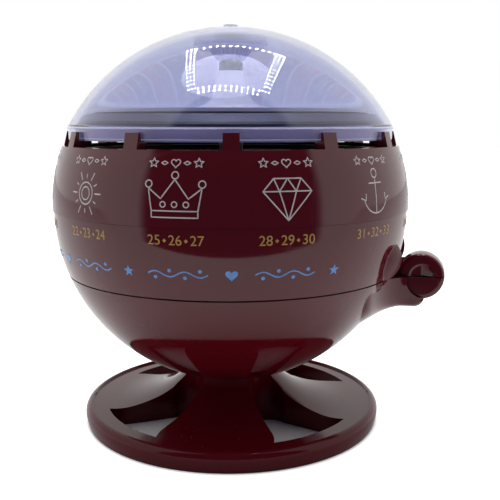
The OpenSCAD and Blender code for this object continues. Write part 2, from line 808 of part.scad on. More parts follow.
throat_h = 6.5;
hopper_top = body_z + 5;
hopper_spread = 15;

module roll_hopper() color([0.8, 0.8, 0.84]) {
    y0 = -pocket_front - hopper_wall;
    depth = pocket_l + 2 * hopper_wall;
    throat_z = plate_top + throat_h;
    half = pocket_w / 2;
    difference() {
        // Front view of the hopper, run from front to back
        translate([0, y0 + depth, 0]) rotate([90, 0, 0]) linear_extrude(depth) polygon([
            [-half - hopper_wall, plate_top], [half + hopper_wall, plate_top],
            [half + hopper_wall, throat_z - 0.5], [half + hopper_wall + hopper_spread, hopper_top],
            [-half - hopper_wall - hopper_spread, hopper_top], [-half - hopper_wall, throat_z - 0.5]]);
        translate([0, y0 + depth - hopper_wall, 0]) rotate([90, 0, 0]) linear_extrude(pocket_l)
            polygon([[-half, plate_top - 1], [half, plate_top - 1], [half, throat_z],
                [half + hopper_spread, hopper_top + eps], [-half - hopper_spread, hopper_top + eps],
                [-half, throat_z]]);
    }
    // Feet on the plate
    for (s = [-1, 1]) translate([s * (half + hopper_wall + 2), y0 + depth / 2 - 6, plate_top + 0.6])
        cube([4, 7, 1.2], center = true);
}

ramp_t = 1.2;
ramp_end = wall_y - 3.45;

module outlet_ramp() color(black) {
    drop_at_end = (ramp_end - ramp_front) * tan(ramp_slope);
    w = outlet_half + ramp_t - 0.1;
    difference() {
        rotate([90, 0, -90]) translate([0, 0, -w]) linear_extrude(2 * w) polygon([
            [ramp_front + 0.1, floor_z], [ramp_end, floor_z - 0.2],
            [ramp_end, floor_z - drop_at_end - ramp_t], [ramp_front + 0.1, floor_z - floor_t]]);
        rotate([90, 0, -90]) translate([0, 0, -outlet_half]) linear_extrude(2 * outlet_half)
            polygon([[ramp_front - 1, floor_z + tan(ramp_slope)],
                [ramp_end + 1, floor_z - drop_at_end - tan(ramp_slope)], [ramp_end + 1, floor_z + 5],
                [ramp_front - 1, floor_z + 5]]);
    }
}

bush_r = 3.5;
bush_h = 3;
bush_sunk = 0.2;

module lower_bush() color([0.85, 0.68, 0.32]) {
    translate([0, 0, floor_z - bush_sunk]) difference() {
        cylinder(r = bush_r, h = bush_h);
        translate([0, 0, 0.4]) cylinder(r = spindle_r + shaft_gap, h = bush_h);
    }
}

clip_z = gear_z + gear_t + run_gap;

module gear_axle() color(steel) {
    translate([-axle_x, 0, floor_z - 4.5]) cylinder(r = spindle_r, h = clip_z + 1.4 - floor_z + 4.5);
}

module axle_clip() color(steel) {
    translate([-axle_x, 0, clip_z]) difference() {
        cylinder(r = 3.4, h = 0.7);
        translate([0, 0, -1]) cylinder(r = spindle_r, h = 3);
        translate([0, -0.8, -1]) cube([5, 1.6, 3]);
    }
}

module spring_rod() color(steel) {
    // It reaches through the lug on the carriage at rest
    rear = spring_rear - lug_t - 3.5;
    translate([spring_x, -rear, spring_z]) rotate([90, 0, 0])
        cylinder(r = spindle_r, h = spring_front + stop_t - rear);
}

// A round wire wound as one unbroken tube between two flat seats
module coil(r, wire, turns, length) {
    per_turn = 12;
    sides = 6;
    steps = turns * per_turn;
    pitch_len = length - wire;
    pts = [for (i = [0:steps]) let (a = i * 360 / per_turn, y = wire / 2 + pitch_len * i / steps)
        for (j = [0:sides - 1]) let (b = j * 360 / sides)
            [(r + wire / 2 * cos(b)) * cos(a), (r + wire / 2 * cos(b)) * sin(a),
                y + wire / 2 * sin(b)]];
    skin_faces = [for (i = [0:steps - 1]) for (j = [0:sides - 1])
        let (p = i * sides + j, q = i * sides + (j + 1) % sides)
        each [[p, q, q + sides], [p, q + sides, p + sides]]];
    caps = [for (j = [1:sides - 2]) each [[0, j + 1, j],
        [steps * sides, steps * sides + j, steps * sides + j + 1]]];
    polyhedron(points = pts, faces = concat(skin_faces, caps), convexity = 10);
}

module return_spring() color(steel) {
    translate([spring_x, -spring_rear - 0.1, spring_z]) rotate([90, 0, 0])
        coil(spring_r, spring_wire, spring_turns, spring_l - 0.2);
}

// Half section of the grip, from its axle line out to its rounded edge
module grip_disc() {
    edge = 1.8;
    half = grip_t / 2;
    translate([0, -grip_y, seam_z]) rotate([0, 90, 0]) rotate_extrude($fn = 120) polygon(concat(
        [[0, -half], [grip_r - edge, -half]],
        [for (a = [-75:15:75]) [grip_r - edge + edge * cos(a), (half - edge) * sign(a) * min(1,
            abs(a) / 30) + edge * sin(a)]],
        [[grip_r - edge, half], [0, half]]));
}

grip_seam = 0.25;

module lever() color(maroon) {
    // Upper half of the grip, dished on both sides for finger and thumb
    difference() {
        intersection() {
            grip_disc();
            slab(seam_z + grip_seam / 2, seam_z + 20);
        }
        for (s = [-1, 1]) translate([s * (grip_t / 2 + 6.2), -grip_y - 0.5, seam_z])
            rotate([0, 90, 0]) rotate_extrude($fn = 72) intersection() {
                circle(r = 7.6, $fn = 72);
                translate([0, -10]) square([20, 20]);
            }
    }
    // Arm through the slot, with its hook in the carriage
    difference() {
        translate([-arm_w / 2, -grip_y, arm_z]) cube([arm_w, grip_y - carriage_front, arm_h]);
        translate([-30, -grip_y, seam_z - 20]) cube([60, 3, 18]);
    }
    translate([-neck_w / 2, -carriage_front - eps, arm_z])
        cube([neck_w, carriage_front - hook_y - hook_t + 2 * eps, arm_h]);
    translate([-hook_w / 2, -hook_y - hook_t, arm_z]) cube([hook_w, hook_t, arm_h]);
}

module lever_grip() color(maroon) {
    intersection() {
        grip_disc();
        slab(seam_z - 20, seam_z - grip_seam / 2);
    }
    // Peg that joins the two halves
    translate([0, -grip_y, seam_z - 1]) cylinder(r = 2, h = 1 + grip_seam / 2);
}

module roll_carriage() color([0.85, 0.85, 0.87]) {
    half = carriage_w / 2;
    nose_half = outlet_half - run_gap;
    difference() {
        union() {
            translate([-half, -hook_y - hook_gap, carriage_z])
                cube([carriage_w, hook_y + hook_gap - carriage_back, arm_top - carriage_z]);
            // Nose, narrow enough to enter the outlet
            translate([-nose_half, -carriage_front, carriage_z])
                cube([2 * nose_half, carriage_nose + 1, arm_top - carriage_z]);
            // Tail that holds the next rolls up while the lever is out
            translate([-half, -carriage_back - eps, arm_top - tail_t])
                cube([carriage_w, carriage_back - tail_end + eps, tail_t]);
            // Bar to the rack
            translate([-bar_x, -rack_front, bar_z]) cube([bar_x - half + 1, bar_l, bar_t]);
            // Lug of the return spring
            translate([half - 1, -spring_rear, bar_z - 0.2])
                cube([spring_x + 4 - half + 1, lug_t, spring_z + 3.2 - bar_z + 0.2]);
        }
        translate([-pocket_w / 2, -pocket_front, 0]) cube([pocket_w, pocket_l, 100]);
        // T-slot for the lever's hook
        translate([-neck_w / 2 - hook_gap, -carriage_front - 1, arm_z])
            cube([neck_w + 2 * hook_gap, carriage_front + 1 - hook_y, 20]);
        translate([-hook_w / 2 - hook_gap, -hook_y - hook_t - hook_gap, arm_z])
            cube([hook_w + 2 * hook_gap, hook_t + 2 * hook_gap, 20]);
        translate([spring_x, 0, spring_z]) rotate([90, 0, 0])
            cylinder(r = spindle_r + shaft_gap, h = 60);
        for (y = rack_screw_y) translate([-rack_screw_x, y, bar_z]) {
            translate([0, 0, -1]) cylinder(r = rack_screw_head_r + 0.2, h = rack_screw_head_h + 1.1);
            cylinder(r = rack_screw_r, h = 10);
        }
    }
}

module lever_rack() color([0.9, 0.9, 0.86]) {
    pitch = PI * gear_m;
    half_tip = pitch / 4 - backlash / 2 - tip * tan(press_angle);
    half_root = pitch / 4 - backlash / 2 + root * tan(press_angle);
    first = ceil(-rack_front / pitch + 0.7);
    last = floor(rack_rear / pitch - 0.7);
    difference() {
        union() {
            translate([-rack_x + root, -rack_front, rack_z])
                cube([rack_back, rack_front + rack_rear, rack_h]);
            // Foot that lies on the carriage's bar
            translate([-bar_x - eps, -rack_front, bar_z + bar_t])
                cube([rack_foot_w, bar_l, rack_foot_t]);
        }
        for (y = rack_screw_y) translate([-rack_screw_x, y, bar_z]) cylinder(r = rack_screw_r, h = 20);
    }
    for (k = [first:last]) translate([-rack_x, (k + 0.5) * pitch, rack_z])
        linear_extrude(rack_h) polygon([[root + eps, -half_root], [-tip, -half_tip],
            [-tip, half_tip], [root + eps, half_root]]);
}

module rack_screws() color(steel) {
    for (y = rack_screw_y) translate([-rack_screw_x, y, bar_z + rack_screw_head_h + 0.1])
        screw(rack_screw_r, bar_t + rack_foot_t - rack_screw_head_h - 0.1, rack_screw_head_r,
            rack_screw_head_h);
}

module compound_gear() color([0.9, 0.9, 0.86]) {
    web_in = small_r + 1;
    web_out = large_r - 4;
    translate([-axle_x, 0, 0]) difference() {
        union() {
            translate([0, 0, pinion_z]) linear_extrude(pinion_h) gear_2d(small_teeth);
            translate([0, 0, pinion_z + pinion_h - eps])
                cylinder(r = small_r - root, h = gear_z - pinion_z - pinion_h + 1);
            translate([0, 0, gear_z]) linear_extrude(gear_t) rotate(180 / large_teeth)
                gear_2d(large_teeth);
        }
        translate([0, 0, pinion_z - 1]) cylinder(r = spindle_r + shaft_gap, h = 30);
        // Web thinned between hub and rim
        translate([0, 0, gear_z + gear_t - 1]) ring_solid(web_out, web_in, 2);
        for (k = [0:5]) rotate(k * 60) translate([(web_in + web_out) / 2, 0, gear_z - 1])
            cylinder(r = (web_out - web_in) / 2 - 2.9, h = 10);
    }
}

module spindle_pinion() color([0.9, 0.9, 0.86]) {
    difference() {
        translate([0, 0, drive_z]) linear_extrude(drive_h) rotate(180) gear_2d(small_teeth);
        translate([0, 0, drive_z - 1]) cylinder(r = spindle_r + shaft_gap, h = drive_h + 2);
    }
}

module felt_washer() color([0.35, 0.3, 0.28]) {
    translate([0, 0, drive_z + drive_h]) difference() {
        cylinder(r = washer_r, h = washer_t);
        translate([0, 0, -1]) cylinder(r = spindle_r + 0.4, h = 5);
    }
}

module drive_disc() color([0.9, 0.9, 0.86]) {
    translate([0, 0, disc_z]) difference() {
        union() {
            cylinder(r = disc_r, h = disc_t);
            cylinder(r = disc_hub_r, h = disc_hub_h);
        }
        translate([0, 0, -1]) cylinder(r = spindle_r, h = disc_hub_h + 2);
    }
}

module spindle() color(steel) {
    translate([0, 0, floor_z + run_gap]) cylinder(r = spindle_r, h = spindle_end - floor_z - run_gap);
}

module roulette_wheel() color(white) {
    collar_r = 4;
    collar_h = 2;
    difference() {
        union() {
            translate([0, 0, wheel_z - wheel_t]) cylinder(r = wheel_r, h = wheel_t, $fn = 180);
            translate([0, 0, wheel_z - wheel_t - collar_h]) cylinder(r = collar_r, h = collar_h + 0.5);
        }
        translate([0, 0, wheel_z - 10]) cylinder(r = spindle_r, h = 20);
    }
}

pocket_in = bell_tip_r + bell_flare + bell_brim + 0.65;
pocket_out = pocket_in + 3.4;
pocket_h = 0.6;

module pocket_ring() color(black) {
    translate([0, 0, wheel_z]) {
        ring_solid(pocket_in + 0.7, pocket_in, pocket_h);
        ring_solid(pocket_out, pocket_out - 0.7, pocket_h);
        for (k = [0:pockets - 1]) rotate(k * 360 / pockets)
            translate([pocket_in + 0.3, -0.3, 0]) cube([pocket_out - pocket_in - 0.6, 0.6, pocket_h]);
    }
}

// Outline of the bell from its tip down to its brim
function bell_line(z) = let (t = (bell_z - z) / (bell_z - wheel_z))
    bell_tip_r + bell_flare * t + bell_brim * pow(t, 9);

module wheel_hub() color(white) {
    steps = 14;
    rise = bell_z - wheel_z;
    outer = [for (i = [0:steps]) let (z = bell_z - rise * (1 - pow(1 - i / steps, 1.6)))
        [bell_line(z), z]];
    difference() {
        rotate_extrude($fn = 120) polygon(concat([[0, wheel_z], [0, bell_z]], outer));
        translate([0, 0, wheel_z - 1]) cylinder(r = spindle_r, h = 30);
        translate([0, 0, wheel_z - 1]) cylinder(r1 = bell_tip_r + bell_flare - 0.4,
            r2 = bell_tip_r - 0.9, h = rise - 1.5);
    }
    translate([0, 0, wheel_z]) ring_solid(spindle_r + bell_core, spindle_r, rise - 2);
}

module hub_cap() color([0.3, 0.3, 0.42]) {
    translate([0, 0, bell_z]) difference() {
        union() {
            cylinder(r = bell_tip_r - 0.15, h = cap_h - 0.5);
            translate([0, 0, cap_h - 0.5])
                cylinder(r1 = bell_tip_r - 0.15, r2 = bell_tip_r - 0.65, h = 0.5);
        }
        translate([0, 0, -1]) cylinder(r = spindle_r, h = 10);
    }
}

base_stand();
stand_legs();
foot_ring();
base_screw();
lower_bowl();
mid_shell();
upper_ring();
dome();
dome_bush();
roulette_tray();
coin_funnel();
coin_chute();
chassis_floor();
chassis_plate();
frame_pillars();
chassis_screws();
frame_screws();
roll_hopper();
outlet_ramp();
lower_bush();
gear_axle();
axle_clip();
spring_rod();
return_spring();
lever();
lever_grip();
roll_carriage();
lever_rack();
rack_screws();
compound_gear();
spindle_pinion();
felt_washer();
drive_disc();
spindle();
roulette_wheel();
pocket_ring();
wheel_hub();
hub_cap();
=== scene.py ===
import json
import math
import bmesh
import bpy
from mathutils import Matrix, Vector


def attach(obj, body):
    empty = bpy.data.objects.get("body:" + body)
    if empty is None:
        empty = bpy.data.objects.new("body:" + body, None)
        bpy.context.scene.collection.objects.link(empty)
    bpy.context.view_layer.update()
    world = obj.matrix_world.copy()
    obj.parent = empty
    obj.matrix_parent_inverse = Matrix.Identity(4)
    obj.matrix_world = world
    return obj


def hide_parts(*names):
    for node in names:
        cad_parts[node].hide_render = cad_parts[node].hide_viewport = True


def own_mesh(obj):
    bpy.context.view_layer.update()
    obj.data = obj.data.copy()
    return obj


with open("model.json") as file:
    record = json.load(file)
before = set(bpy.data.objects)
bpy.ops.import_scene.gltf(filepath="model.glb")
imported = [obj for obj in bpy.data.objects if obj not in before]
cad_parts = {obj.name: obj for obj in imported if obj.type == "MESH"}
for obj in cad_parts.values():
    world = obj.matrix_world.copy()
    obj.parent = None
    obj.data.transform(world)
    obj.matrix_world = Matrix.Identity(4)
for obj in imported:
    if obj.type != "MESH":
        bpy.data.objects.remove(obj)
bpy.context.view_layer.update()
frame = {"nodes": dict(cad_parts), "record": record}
nodes = frame["nodes"]
scene = bpy.context.scene
mm = 0.001
mergeGap = 0.0001  # in millimetres

# Main sizes of the body in millimetres and its angles in degrees, the same as the frame's
body = {
    "ringRadius": 60.0, "ringCentre": 74.7,
    "shellRadius": 59.6, "shellCentre": 74.5,
    "panels": 12, "panelStep": 30.0, "firstPanel": -60.0, "lever": -90.0,
}


# Short ways to place and join shader nodes

def feed(tree, value, socket):
    if isinstance(value, bpy.types.NodeSocket):
        tree.links.new(value, socket)
    else:
        socket.default_value = value


def nodeOfType(tree, kind):
    return next(n for n in tree.nodes if n.type == kind)


def objectCoords(tree):
    return tree.nodes.new("ShaderNodeTexCoord").outputs["Object"]


def mathNode(tree, operation, first, second=None, clamp=False):
    node = tree.nodes.new("ShaderNodeMath")
    node.operation = operation
    node.use_clamp = clamp
    for socket, value in zip(node.inputs, (first, second)):
        if value is not None:
            feed(tree, value, socket)
    return node.outputs[0]


def noiseNode(tree, coords, scale, detail=2.0, stretch=None, turn=(0, 0, 0)):
    if stretch:
        mapping = tree.nodes.new("ShaderNodeMapping")
        mapping.inputs["Scale"].default_value = stretch
        mapping.inputs["Rotation"].default_value = turn
        tree.links.new(coords, mapping.inputs["Vector"])
        coords = mapping.outputs["Vector"]
    noise = tree.nodes.new("ShaderNodeTexNoise")
    noise.inputs["Detail"].default_value = detail
    tree.links.new(coords, noise.inputs["Vector"])
    feed(tree, scale, noise.inputs["Scale"])
    return noise.outputs["Fac"]


def rangeNode(tree, value, start, end, low=0.0, high=1.0, interpolation="LINEAR"):
    node = tree.nodes.new("ShaderNodeMapRange")
    node.interpolation_type = interpolation
    for label, limit in (("From Min", start), ("From Max", end), ("To Min", low), ("To Max", high)):
        node.inputs[label].default_value = limit
    tree.links.new(value, node.inputs["Value"])
    return node.outputs["Result"]


def mixColours(tree, factor, first, second):
    mix = tree.nodes.new("ShaderNodeMix")
    mix.data_type = "RGBA"
    feed(tree, first, mix.inputs["A"])
    feed(tree, second, mix.inputs["B"])
    tree.links.new(factor, mix.inputs["Factor"])
    return mix.outputs["Result"]


def addBump(tree, shader, height, strength, distance):
    bump = tree.nodes.new("ShaderNodeBump")
    bump.inputs["Strength"].default_value = strength
    bump.inputs["Distance"].default_value = distance
    tree.links.new(height, bump.inputs["Height"])
    tree.links.new(bump.outputs["Normal"], shader.inputs["Normal"])


# Effects that several materials share

effects = {
    "waveScale": 45, "smearScale": 38, "lineAt": 0.74, "lineContrast": 14.0,
    "lineWays": (((30, 2600, 30), (0.3, 0.2, 0.5)), ((2400, 26, 40), (0.1, 0.5, -0.4)),
                 ((28, 30, 2500), (0.4, -0.3, 0.2))),
    "speckScale": 420, "speckSize": 0.09, "speckContrast": 30.0,
    "patchScale": 60, "patchContrast": 6.0, "upContrast": 1.5,
}


def newGroup(name, inputs, outputs):
    group = bpy.data.node_groups.new(name, "ShaderNodeTree")
    for label, value in inputs:
        socket = group.interface.new_socket(label, in_out="INPUT", socket_type="NodeSocketFloat")
        socket.default_value = value
    for label in outputs:
        group.interface.new_socket(label, in_out="OUTPUT", socket_type="NodeSocketFloat")
    return group, group.nodes.new("NodeGroupInput"), group.nodes.new("NodeGroupOutput")


# Slow waves of a moulding and its fine grain, as a height
def makeSkinGroup():
    group, given, result = newGroup("mouldedSkin", [("Wave", 0.3), ("Grain", 0.2), ("Grain scale", 1500)],
                                    ["Height"])
    coords = objectCoords(group)
    wave = noiseNode(group, coords, effects["waveScale"], 1.0)
    wave = mathNode(group, "MULTIPLY", wave, given.outputs["Wave"])
    grain = noiseNode(group, coords, given.outputs["Grain scale"], 3.0)
    grain = mathNode(group, "MULTIPLY", grain, given.outputs["Grain"])
    group.links.new(mathNode(group, "ADD", wave, grain), result.inputs["Height"])
    return group


# Roughness that varies with handling, and fine scratches on it
def makeHandlingGroup():
    group, given, result = newGroup("handling", [("Roughness", 0.1), ("Spread", 0.06), ("Scratches", 0.1)],
                                    ["Roughness"])
    coords = objectCoords(group)
    smear = mathNode(group, "SUBTRACT", noiseNode(group, coords, effects["smearScale"], 4.0), 0.5)
    smear = mathNode(group, "MULTIPLY", smear, given.outputs["Spread"])
    lines = None
    for stretch, turn in effects["lineWays"]:
        fine = noiseNode(group, coords, 1.0, 0.0, stretch, turn)
        fine = mathNode(group, "SUBTRACT", fine, effects["lineAt"])
        fine = mathNode(group, "MULTIPLY", fine, effects["lineContrast"], clamp=True)
        lines = fine if lines is None else mathNode(group, "MAXIMUM", lines, fine)
    lines = mathNode(group, "MULTIPLY", lines, given.outputs["Scratches"])
    rough = mathNode(group, "ADD", given.outputs["Roughness"], smear)
    rough = mathNode(group, "ADD", rough, lines, clamp=True)
    group.links.new(rough, result.inputs["Roughness"])
    return group


# Specks of dust that lie on what faces up
def makeDustGroup():
    group, given, result = newGroup("dust", [("Amount", 0.5)], ["Mask"])
    coords = objectCoords(group)
    cells = group.nodes.new("ShaderNodeTexVoronoi")
    cells.inputs["Scale"].default_value = effects["speckScale"]
    group.links.new(coords, cells.inputs["Vector"])
    speck = mathNode(group, "SUBTRACT", effects["speckSize"], cells.outputs["Distance"])
    speck = mathNode(group, "MULTIPLY", speck, effects["speckContrast"], clamp=True)
    patch = mathNode(group, "SUBTRACT", noiseNode(group, coords, effects["patchScale"], 3.0), 0.5)
    patch = mathNode(group, "MULTIPLY", patch, effects["patchContrast"], clamp=True)
    normal = group.nodes.new("ShaderNodeSeparateXYZ")
    group.links.new(group.nodes.new("ShaderNodeNewGeometry").outputs["Normal"], normal.inputs[0])
    up = mathNode(group, "MULTIPLY", normal.outputs["Z"], effects["upContrast"], clamp=True)
    mask = mathNode(group, "MULTIPLY", mathNode(group, "MULTIPLY", speck, patch), up)
    group.links.new(mathNode(group, "MULTIPLY", mask, given.outputs["Amount"]), result.inputs["Mask"])
    return group


skinGroup = makeSkinGroup()
handlingGroup = makeHandlingGroup()
dustGroup = makeDustGroup()


def placeGroup(tree, group, **values):
    node = tree.nodes.new("ShaderNodeGroup")
    node.node_tree = group
    for label, value in values.items():
        node.inputs[label.replace("_", " ")].default_value = value
    return node


def newMaterial(name, **sockets):
    mat = bpy.data.materials.new(name)
    mat.use_nodes = True
    tree = mat.node_tree
    shader = nodeOfType(tree, "BSDF_PRINCIPLED")
    for label, value in sockets.items():
        shader.inputs[label.replace("_", " ")].default_value = value
    return mat, tree, shader


def addSkin(tree, shader, wave, grain, grainScale, distance, strength):
    skin = placeGroup(tree, skinGroup, Wave=wave, Grain=grain, Grain_scale=grainScale)
    addBump(tree, shader, skin.outputs["Height"], strength, distance)


def addHandling(tree, shader, roughness, spread, scratches):
    marks = placeGroup(tree, handlingGroup, Roughness=roughness, Spread=spread, Scratches=scratches)
    tree.links.new(marks.outputs["Roughness"], shader.inputs["Roughness"])
    return marks


def addDust(tree, shader, colour, amount, dustColour):
    dust = placeGroup(tree, dustGroup, Amount=amount)
    tree.links.new(mixColours(tree, dust.outputs["Mask"], colour, dustColour), shader.inputs["Base Color"])


plastics = {
    "maroon": (0.086, 0.0022, 0.0062, 1), "black": (0.006, 0.006, 0.008, 1), "white": (0.88, 0.87, 0.97, 1),
    "grey": (0.42, 0.42, 0.47, 1), "natural": (0.74, 0.71, 0.6, 1), "smoke": (0.022, 0.022, 0.05, 1),
    # The edge colour is a pale painted highlight for the dome's cut edges
    "clear": (0.56, 0.585, 0.77, 1), "bush": (0.42, 0.44, 0.9, 1), "edge": (0.78, 0.78, 0.95, 1),
    "felt": (0.035, 0.03, 0.028, 1),
}
satin = {"marks": (0.38, 0.1, 0.15), "skin": (0.2, 0.4, 2200, 0.0001, 0.25)}


# A plastic. Its marks are roughness, spread and scratches; its skin is wave, grain, grain scale, depth and
# strength; its dust is an amount and a colour.
def moulded(name, colour, marks, skin, dust=None, **sockets):
    mat, tree, shader = newMaterial(name, **sockets)
    addHandling(tree, shader, *marks)
    if dust:
        addDust(tree, shader, plastics[colour], *dust)
    else:
        shader.inputs["Base Color"].default_value = plastics[colour]
    addSkin(tree, shader, *skin)
    return mat


def maroonGloss(name="maroonGloss", specular=0.5, roughness=0.07):
    return moulded(name, "maroon", (roughness, 0.05, 0.12), (0.5, 0.02, 1800, 0.0002, 0.12),
                   (0.35, (0.45, 0.4, 0.38, 1)), IOR=1.5, Specular_IOR_Level=specular)


# The bush under the crown looks cloudy beside the clear dome; the same pale lilac paints a highlight on the
# dome's cut edges
def cloudyLilacAndHighlight(name, colour, transmission):
    return moulded(name, colour, (0.25, 0.05, 0.1), (0.4, 0.1, 1500, 0.0002, 0.15),
                   IOR=1.49, Transmission_Weight=transmission)


earFinish = {"centre": (0, 0, 0.0745), "rise": (0.05975, 0.05995), "duller": 0.42}


# The shell is duller on the ears, where fingers press
def maroonShell():
    mat = maroonGloss("maroonShell")
    tree = mat.node_tree
    shader = nodeOfType(tree, "BSDF_PRINCIPLED")
    smooth = shader.inputs["Roughness"].links[0].from_socket
    reach = tree.nodes.new("ShaderNodeVectorMath")
    reach.operation = "DISTANCE"
    reach.inputs[1].default_value = earFinish["centre"]
    tree.links.new(objectCoords(tree), reach.inputs[0])
    ears = rangeNode(tree, reach.outputs["Value"], *earFinish["rise"], 0.0, earFinish["duller"])
    tree.links.new(mathNode(tree, "ADD", smooth, ears, True), shader.inputs["Roughness"])
    return mat


# Painted shadow and painted reflection on the tray's outer wall: a black band, and a lilac band below it
trayWall = {"outside": 0.0478, "tone": (0.09, 0.08, 0.115, 1),
            "paintedShadowAndReflection": ((0.1026, (0.004, 0.003, 0.01, 1)), (0.101, (0.46, 0.36, 0.62, 1)))}


# The tray's outer wall: grey above, then a black band of painted shadow, then a painted lilac reflection
# where the dome's upright band covers it
def trayPaintedBands():
    mat, tree, shader = newMaterial("trayPaintedBands", IOR=1.5)
    place = tree.nodes.new("ShaderNodeSeparateXYZ")
    tree.links.new(objectCoords(tree), place.inputs[0])
    x, y, z = place.outputs
    flat = mathNode(tree, "ADD", mathNode(tree, "MULTIPLY", x, x), mathNode(tree, "MULTIPLY", y, y))
    outer = mathNode(tree, "GREATER_THAN", mathNode(tree, "SQRT", flat), trayWall["outside"])
    colour = trayWall["tone"]
    for top, tone in trayWall["paintedShadowAndReflection"]:
        below = mathNode(tree, "MULTIPLY", outer, mathNode(tree, "LESS_THAN", z, top))
        colour = mixColours(tree, below, colour, tone)
    tree.links.new(colour, shader.inputs["Base Color"])
    addHandling(tree, shader, *satin["marks"])
    addSkin(tree, shader, *satin["skin"])
    return mat


# Metal with drawn or turned lines along one direction
def linedMetal(name, colour, roughness, stretch):
    mat, tree, shader = newMaterial(name, Base_Color=colour, Metallic=1.0)
    lines = noiseNode(tree, objectCoords(tree), 1.0, 2.0, stretch)
    marks = addHandling(tree, shader, roughness, 0.1, 0.15)
    uneven = mathNode(tree, "MULTIPLY", mathNode(tree, "SUBTRACT", lines, 0.5), 0.25)
    rough = mathNode(tree, "ADD", marks.outputs["Roughness"], uneven, True)
    tree.links.new(rough, shader.inputs["Roughness"])
    addBump(tree, shader, lines, 0.2, 0.00005)
    return mat


def darkFelt():
    mat, tree, shader = newMaterial("darkFelt", Base_Color=plastics["felt"], Roughness=0.95,
                                    Sheen_Weight=0.4, Sheen_Roughness=0.6)
    addSkin(tree, shader, 0.2, 1.0, 3500, 0.0004, 0.8)
    return mat


inkFilm = {"grainScale": 900, "cover": 1.6, "thin": 0.72, "marks": (0.35, 0.1, 0.1)}


# Printing ink: a thin film that is a little uneven in its cover
def printInk(name, colour):
    mat, tree, shader = newMaterial(name, IOR=1.45)
    cover = noiseNode(tree, objectCoords(tree), inkFilm["grainScale"], 3.0)
    cover = mathNode(tree, "MULTIPLY", cover, inkFilm["cover"], True)
    thinner = [c * inkFilm["thin"] for c in colour[:3]] + [1]
    tree.links.new(mixColours(tree, cover, thinner, colour), shader.inputs["Base Color"])
    addHandling(tree, shader, *inkFilm["marks"])
    return mat


print("materials")
finish = {
    "maroon_plastic": maroonGloss(),
    "lilac_clear": moulded("lilacClear", "clear", (0.015, 0.02, 0.1), (0.6, 0.0, 1500, 0.0002, 0.08),
                           IOR=1.49, Transmission_Weight=1.0),
    "black_plastic": moulded("blackSatin", "black", (0.34, 0.12, 0.2), (0.2, 0.5, 2600, 0.0001, 0.25),
                             (0.6, (0.3, 0.29, 0.3, 1)), IOR=1.5),
    "white_plastic": moulded("whiteGloss", "white", (0.16, 0.08, 0.1), (0.3, 0.05, 1800, 0.0002, 0.12),
                             IOR=1.5, Subsurface_Weight=0.15, Subsurface_Scale=0.002),
    "grey_plastic": moulded("greySatin", "grey", satin["marks"], satin["skin"], IOR=1.5),
    "natural_plastic": moulded("naturalPlastic", "natural", (0.32, 0.1, 0.1), (0.3, 0.2, 2200, 0.0001, 0.2),
                               IOR=1.48, Subsurface_Weight=0.3, Subsurface_Scale=0.002),
    "smoke_plastic": moulded("smokeGloss", "smoke", (0.1, 0.05, 0.1), (0.3, 0.05, 1800, 0.0001, 0.1),
                             IOR=1.5),
    "steel": linedMetal("drawnSteel", (0.55, 0.56, 0.58, 1), 0.28, (900, 900, 20)),
    "zinc_steel": linedMetal("zincSteel", (0.62, 0.64, 0.68, 1), 0.2, (300, 300, 300)),
    "brass": linedMetal("turnedBrass", (0.72, 0.47, 0.16, 1), 0.25, (40, 40, 1400)),
    "felt": darkFelt(),
    "stand": maroonGloss("maroonStand", 0.2, 0.1), "shell": maroonShell(),
    "grip": maroonGloss("maroonGrip", 0.5, 0.12), "tray": trayPaintedBands(),
    # The edge finish paints a highlight on the dome's cut edges
    "bush": cloudyLilacAndHighlight("lilacBush", "bush", 0.15), "edge": cloudyLilacAndHighlight("paintedEdgeHighlight", "edge", 0.1),
}
inks = {
    "white": printInk("whiteInk", (0.62, 0.55, 0.55, 1)),
    "gold": printInk("goldInk", (0.5, 0.3, 0.075, 1)),
    "blue": printInk("blueInk", (0.14, 0.33, 0.72, 1)),
    "red": printInk("redInk", (0.32, 0.012, 0.02, 1)),
    "black": printInk("blackInk", (0.012, 0.012, 0.016, 1)),
}
for part in frame["record"]["subparts"]:
    node = nodes[part["node"]]
    node.data.materials.clear()
    node.data.materials.append(finish[part["material_slot"]])

nodes["dome_bush"].data.materials[0] = finish["bush"]
# The tray's wall gets its bands of painted shadow and painted reflection
nodes["roulette_tray"].data.materials[0] = finish["tray"]

# Light reaches the wheel through the clear dome
nodes["dome"].visible_shadow = False
nodes["dome"].visible_diffuse = False


# Objects and pieces from meshes

def linked(name, data):
    holder = bpy.data.objects.new(name, data)
    scene.collection.objects.link(holder)
    return holder


def meshFromBmesh(name, bm):
    mesh = bpy.data.meshes.new(name)
    bm.to_mesh(mesh)
    bm.free()
    return mesh


def toMetres(bm):
    bmesh.ops.scale(bm, verts=bm.verts, vec=(mm, mm, mm))


def closeUp(bm, gap):
    bmesh.ops.remove_doubles(bm, verts=bm.verts, dist=gap)
    bmesh.ops.recalc_face_normals(bm, faces=bm.faces)


def finishPiece(name, bm, material, bodyName, smoothAngle=40):
    mesh = meshFromBmesh(name, bm)
    mesh.polygons.foreach_set("use_smooth", [True] * len(mesh.polygons))
    mesh.set_sharp_from_angle(angle=math.radians(smoothAngle))
    mesh.materials.append(material)
    piece = linked(name, mesh)
    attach(piece, bodyName)
    return piece


def pieceFrom(name, meshes, material, bodyName):
    bm = bmesh.new()
    for mesh in meshes:
        bm.from_mesh(mesh)
        bpy.data.meshes.remove(mesh)
    closeUp(bm, mergeGap * mm)
    finishPiece(name, bm, material, bodyName)


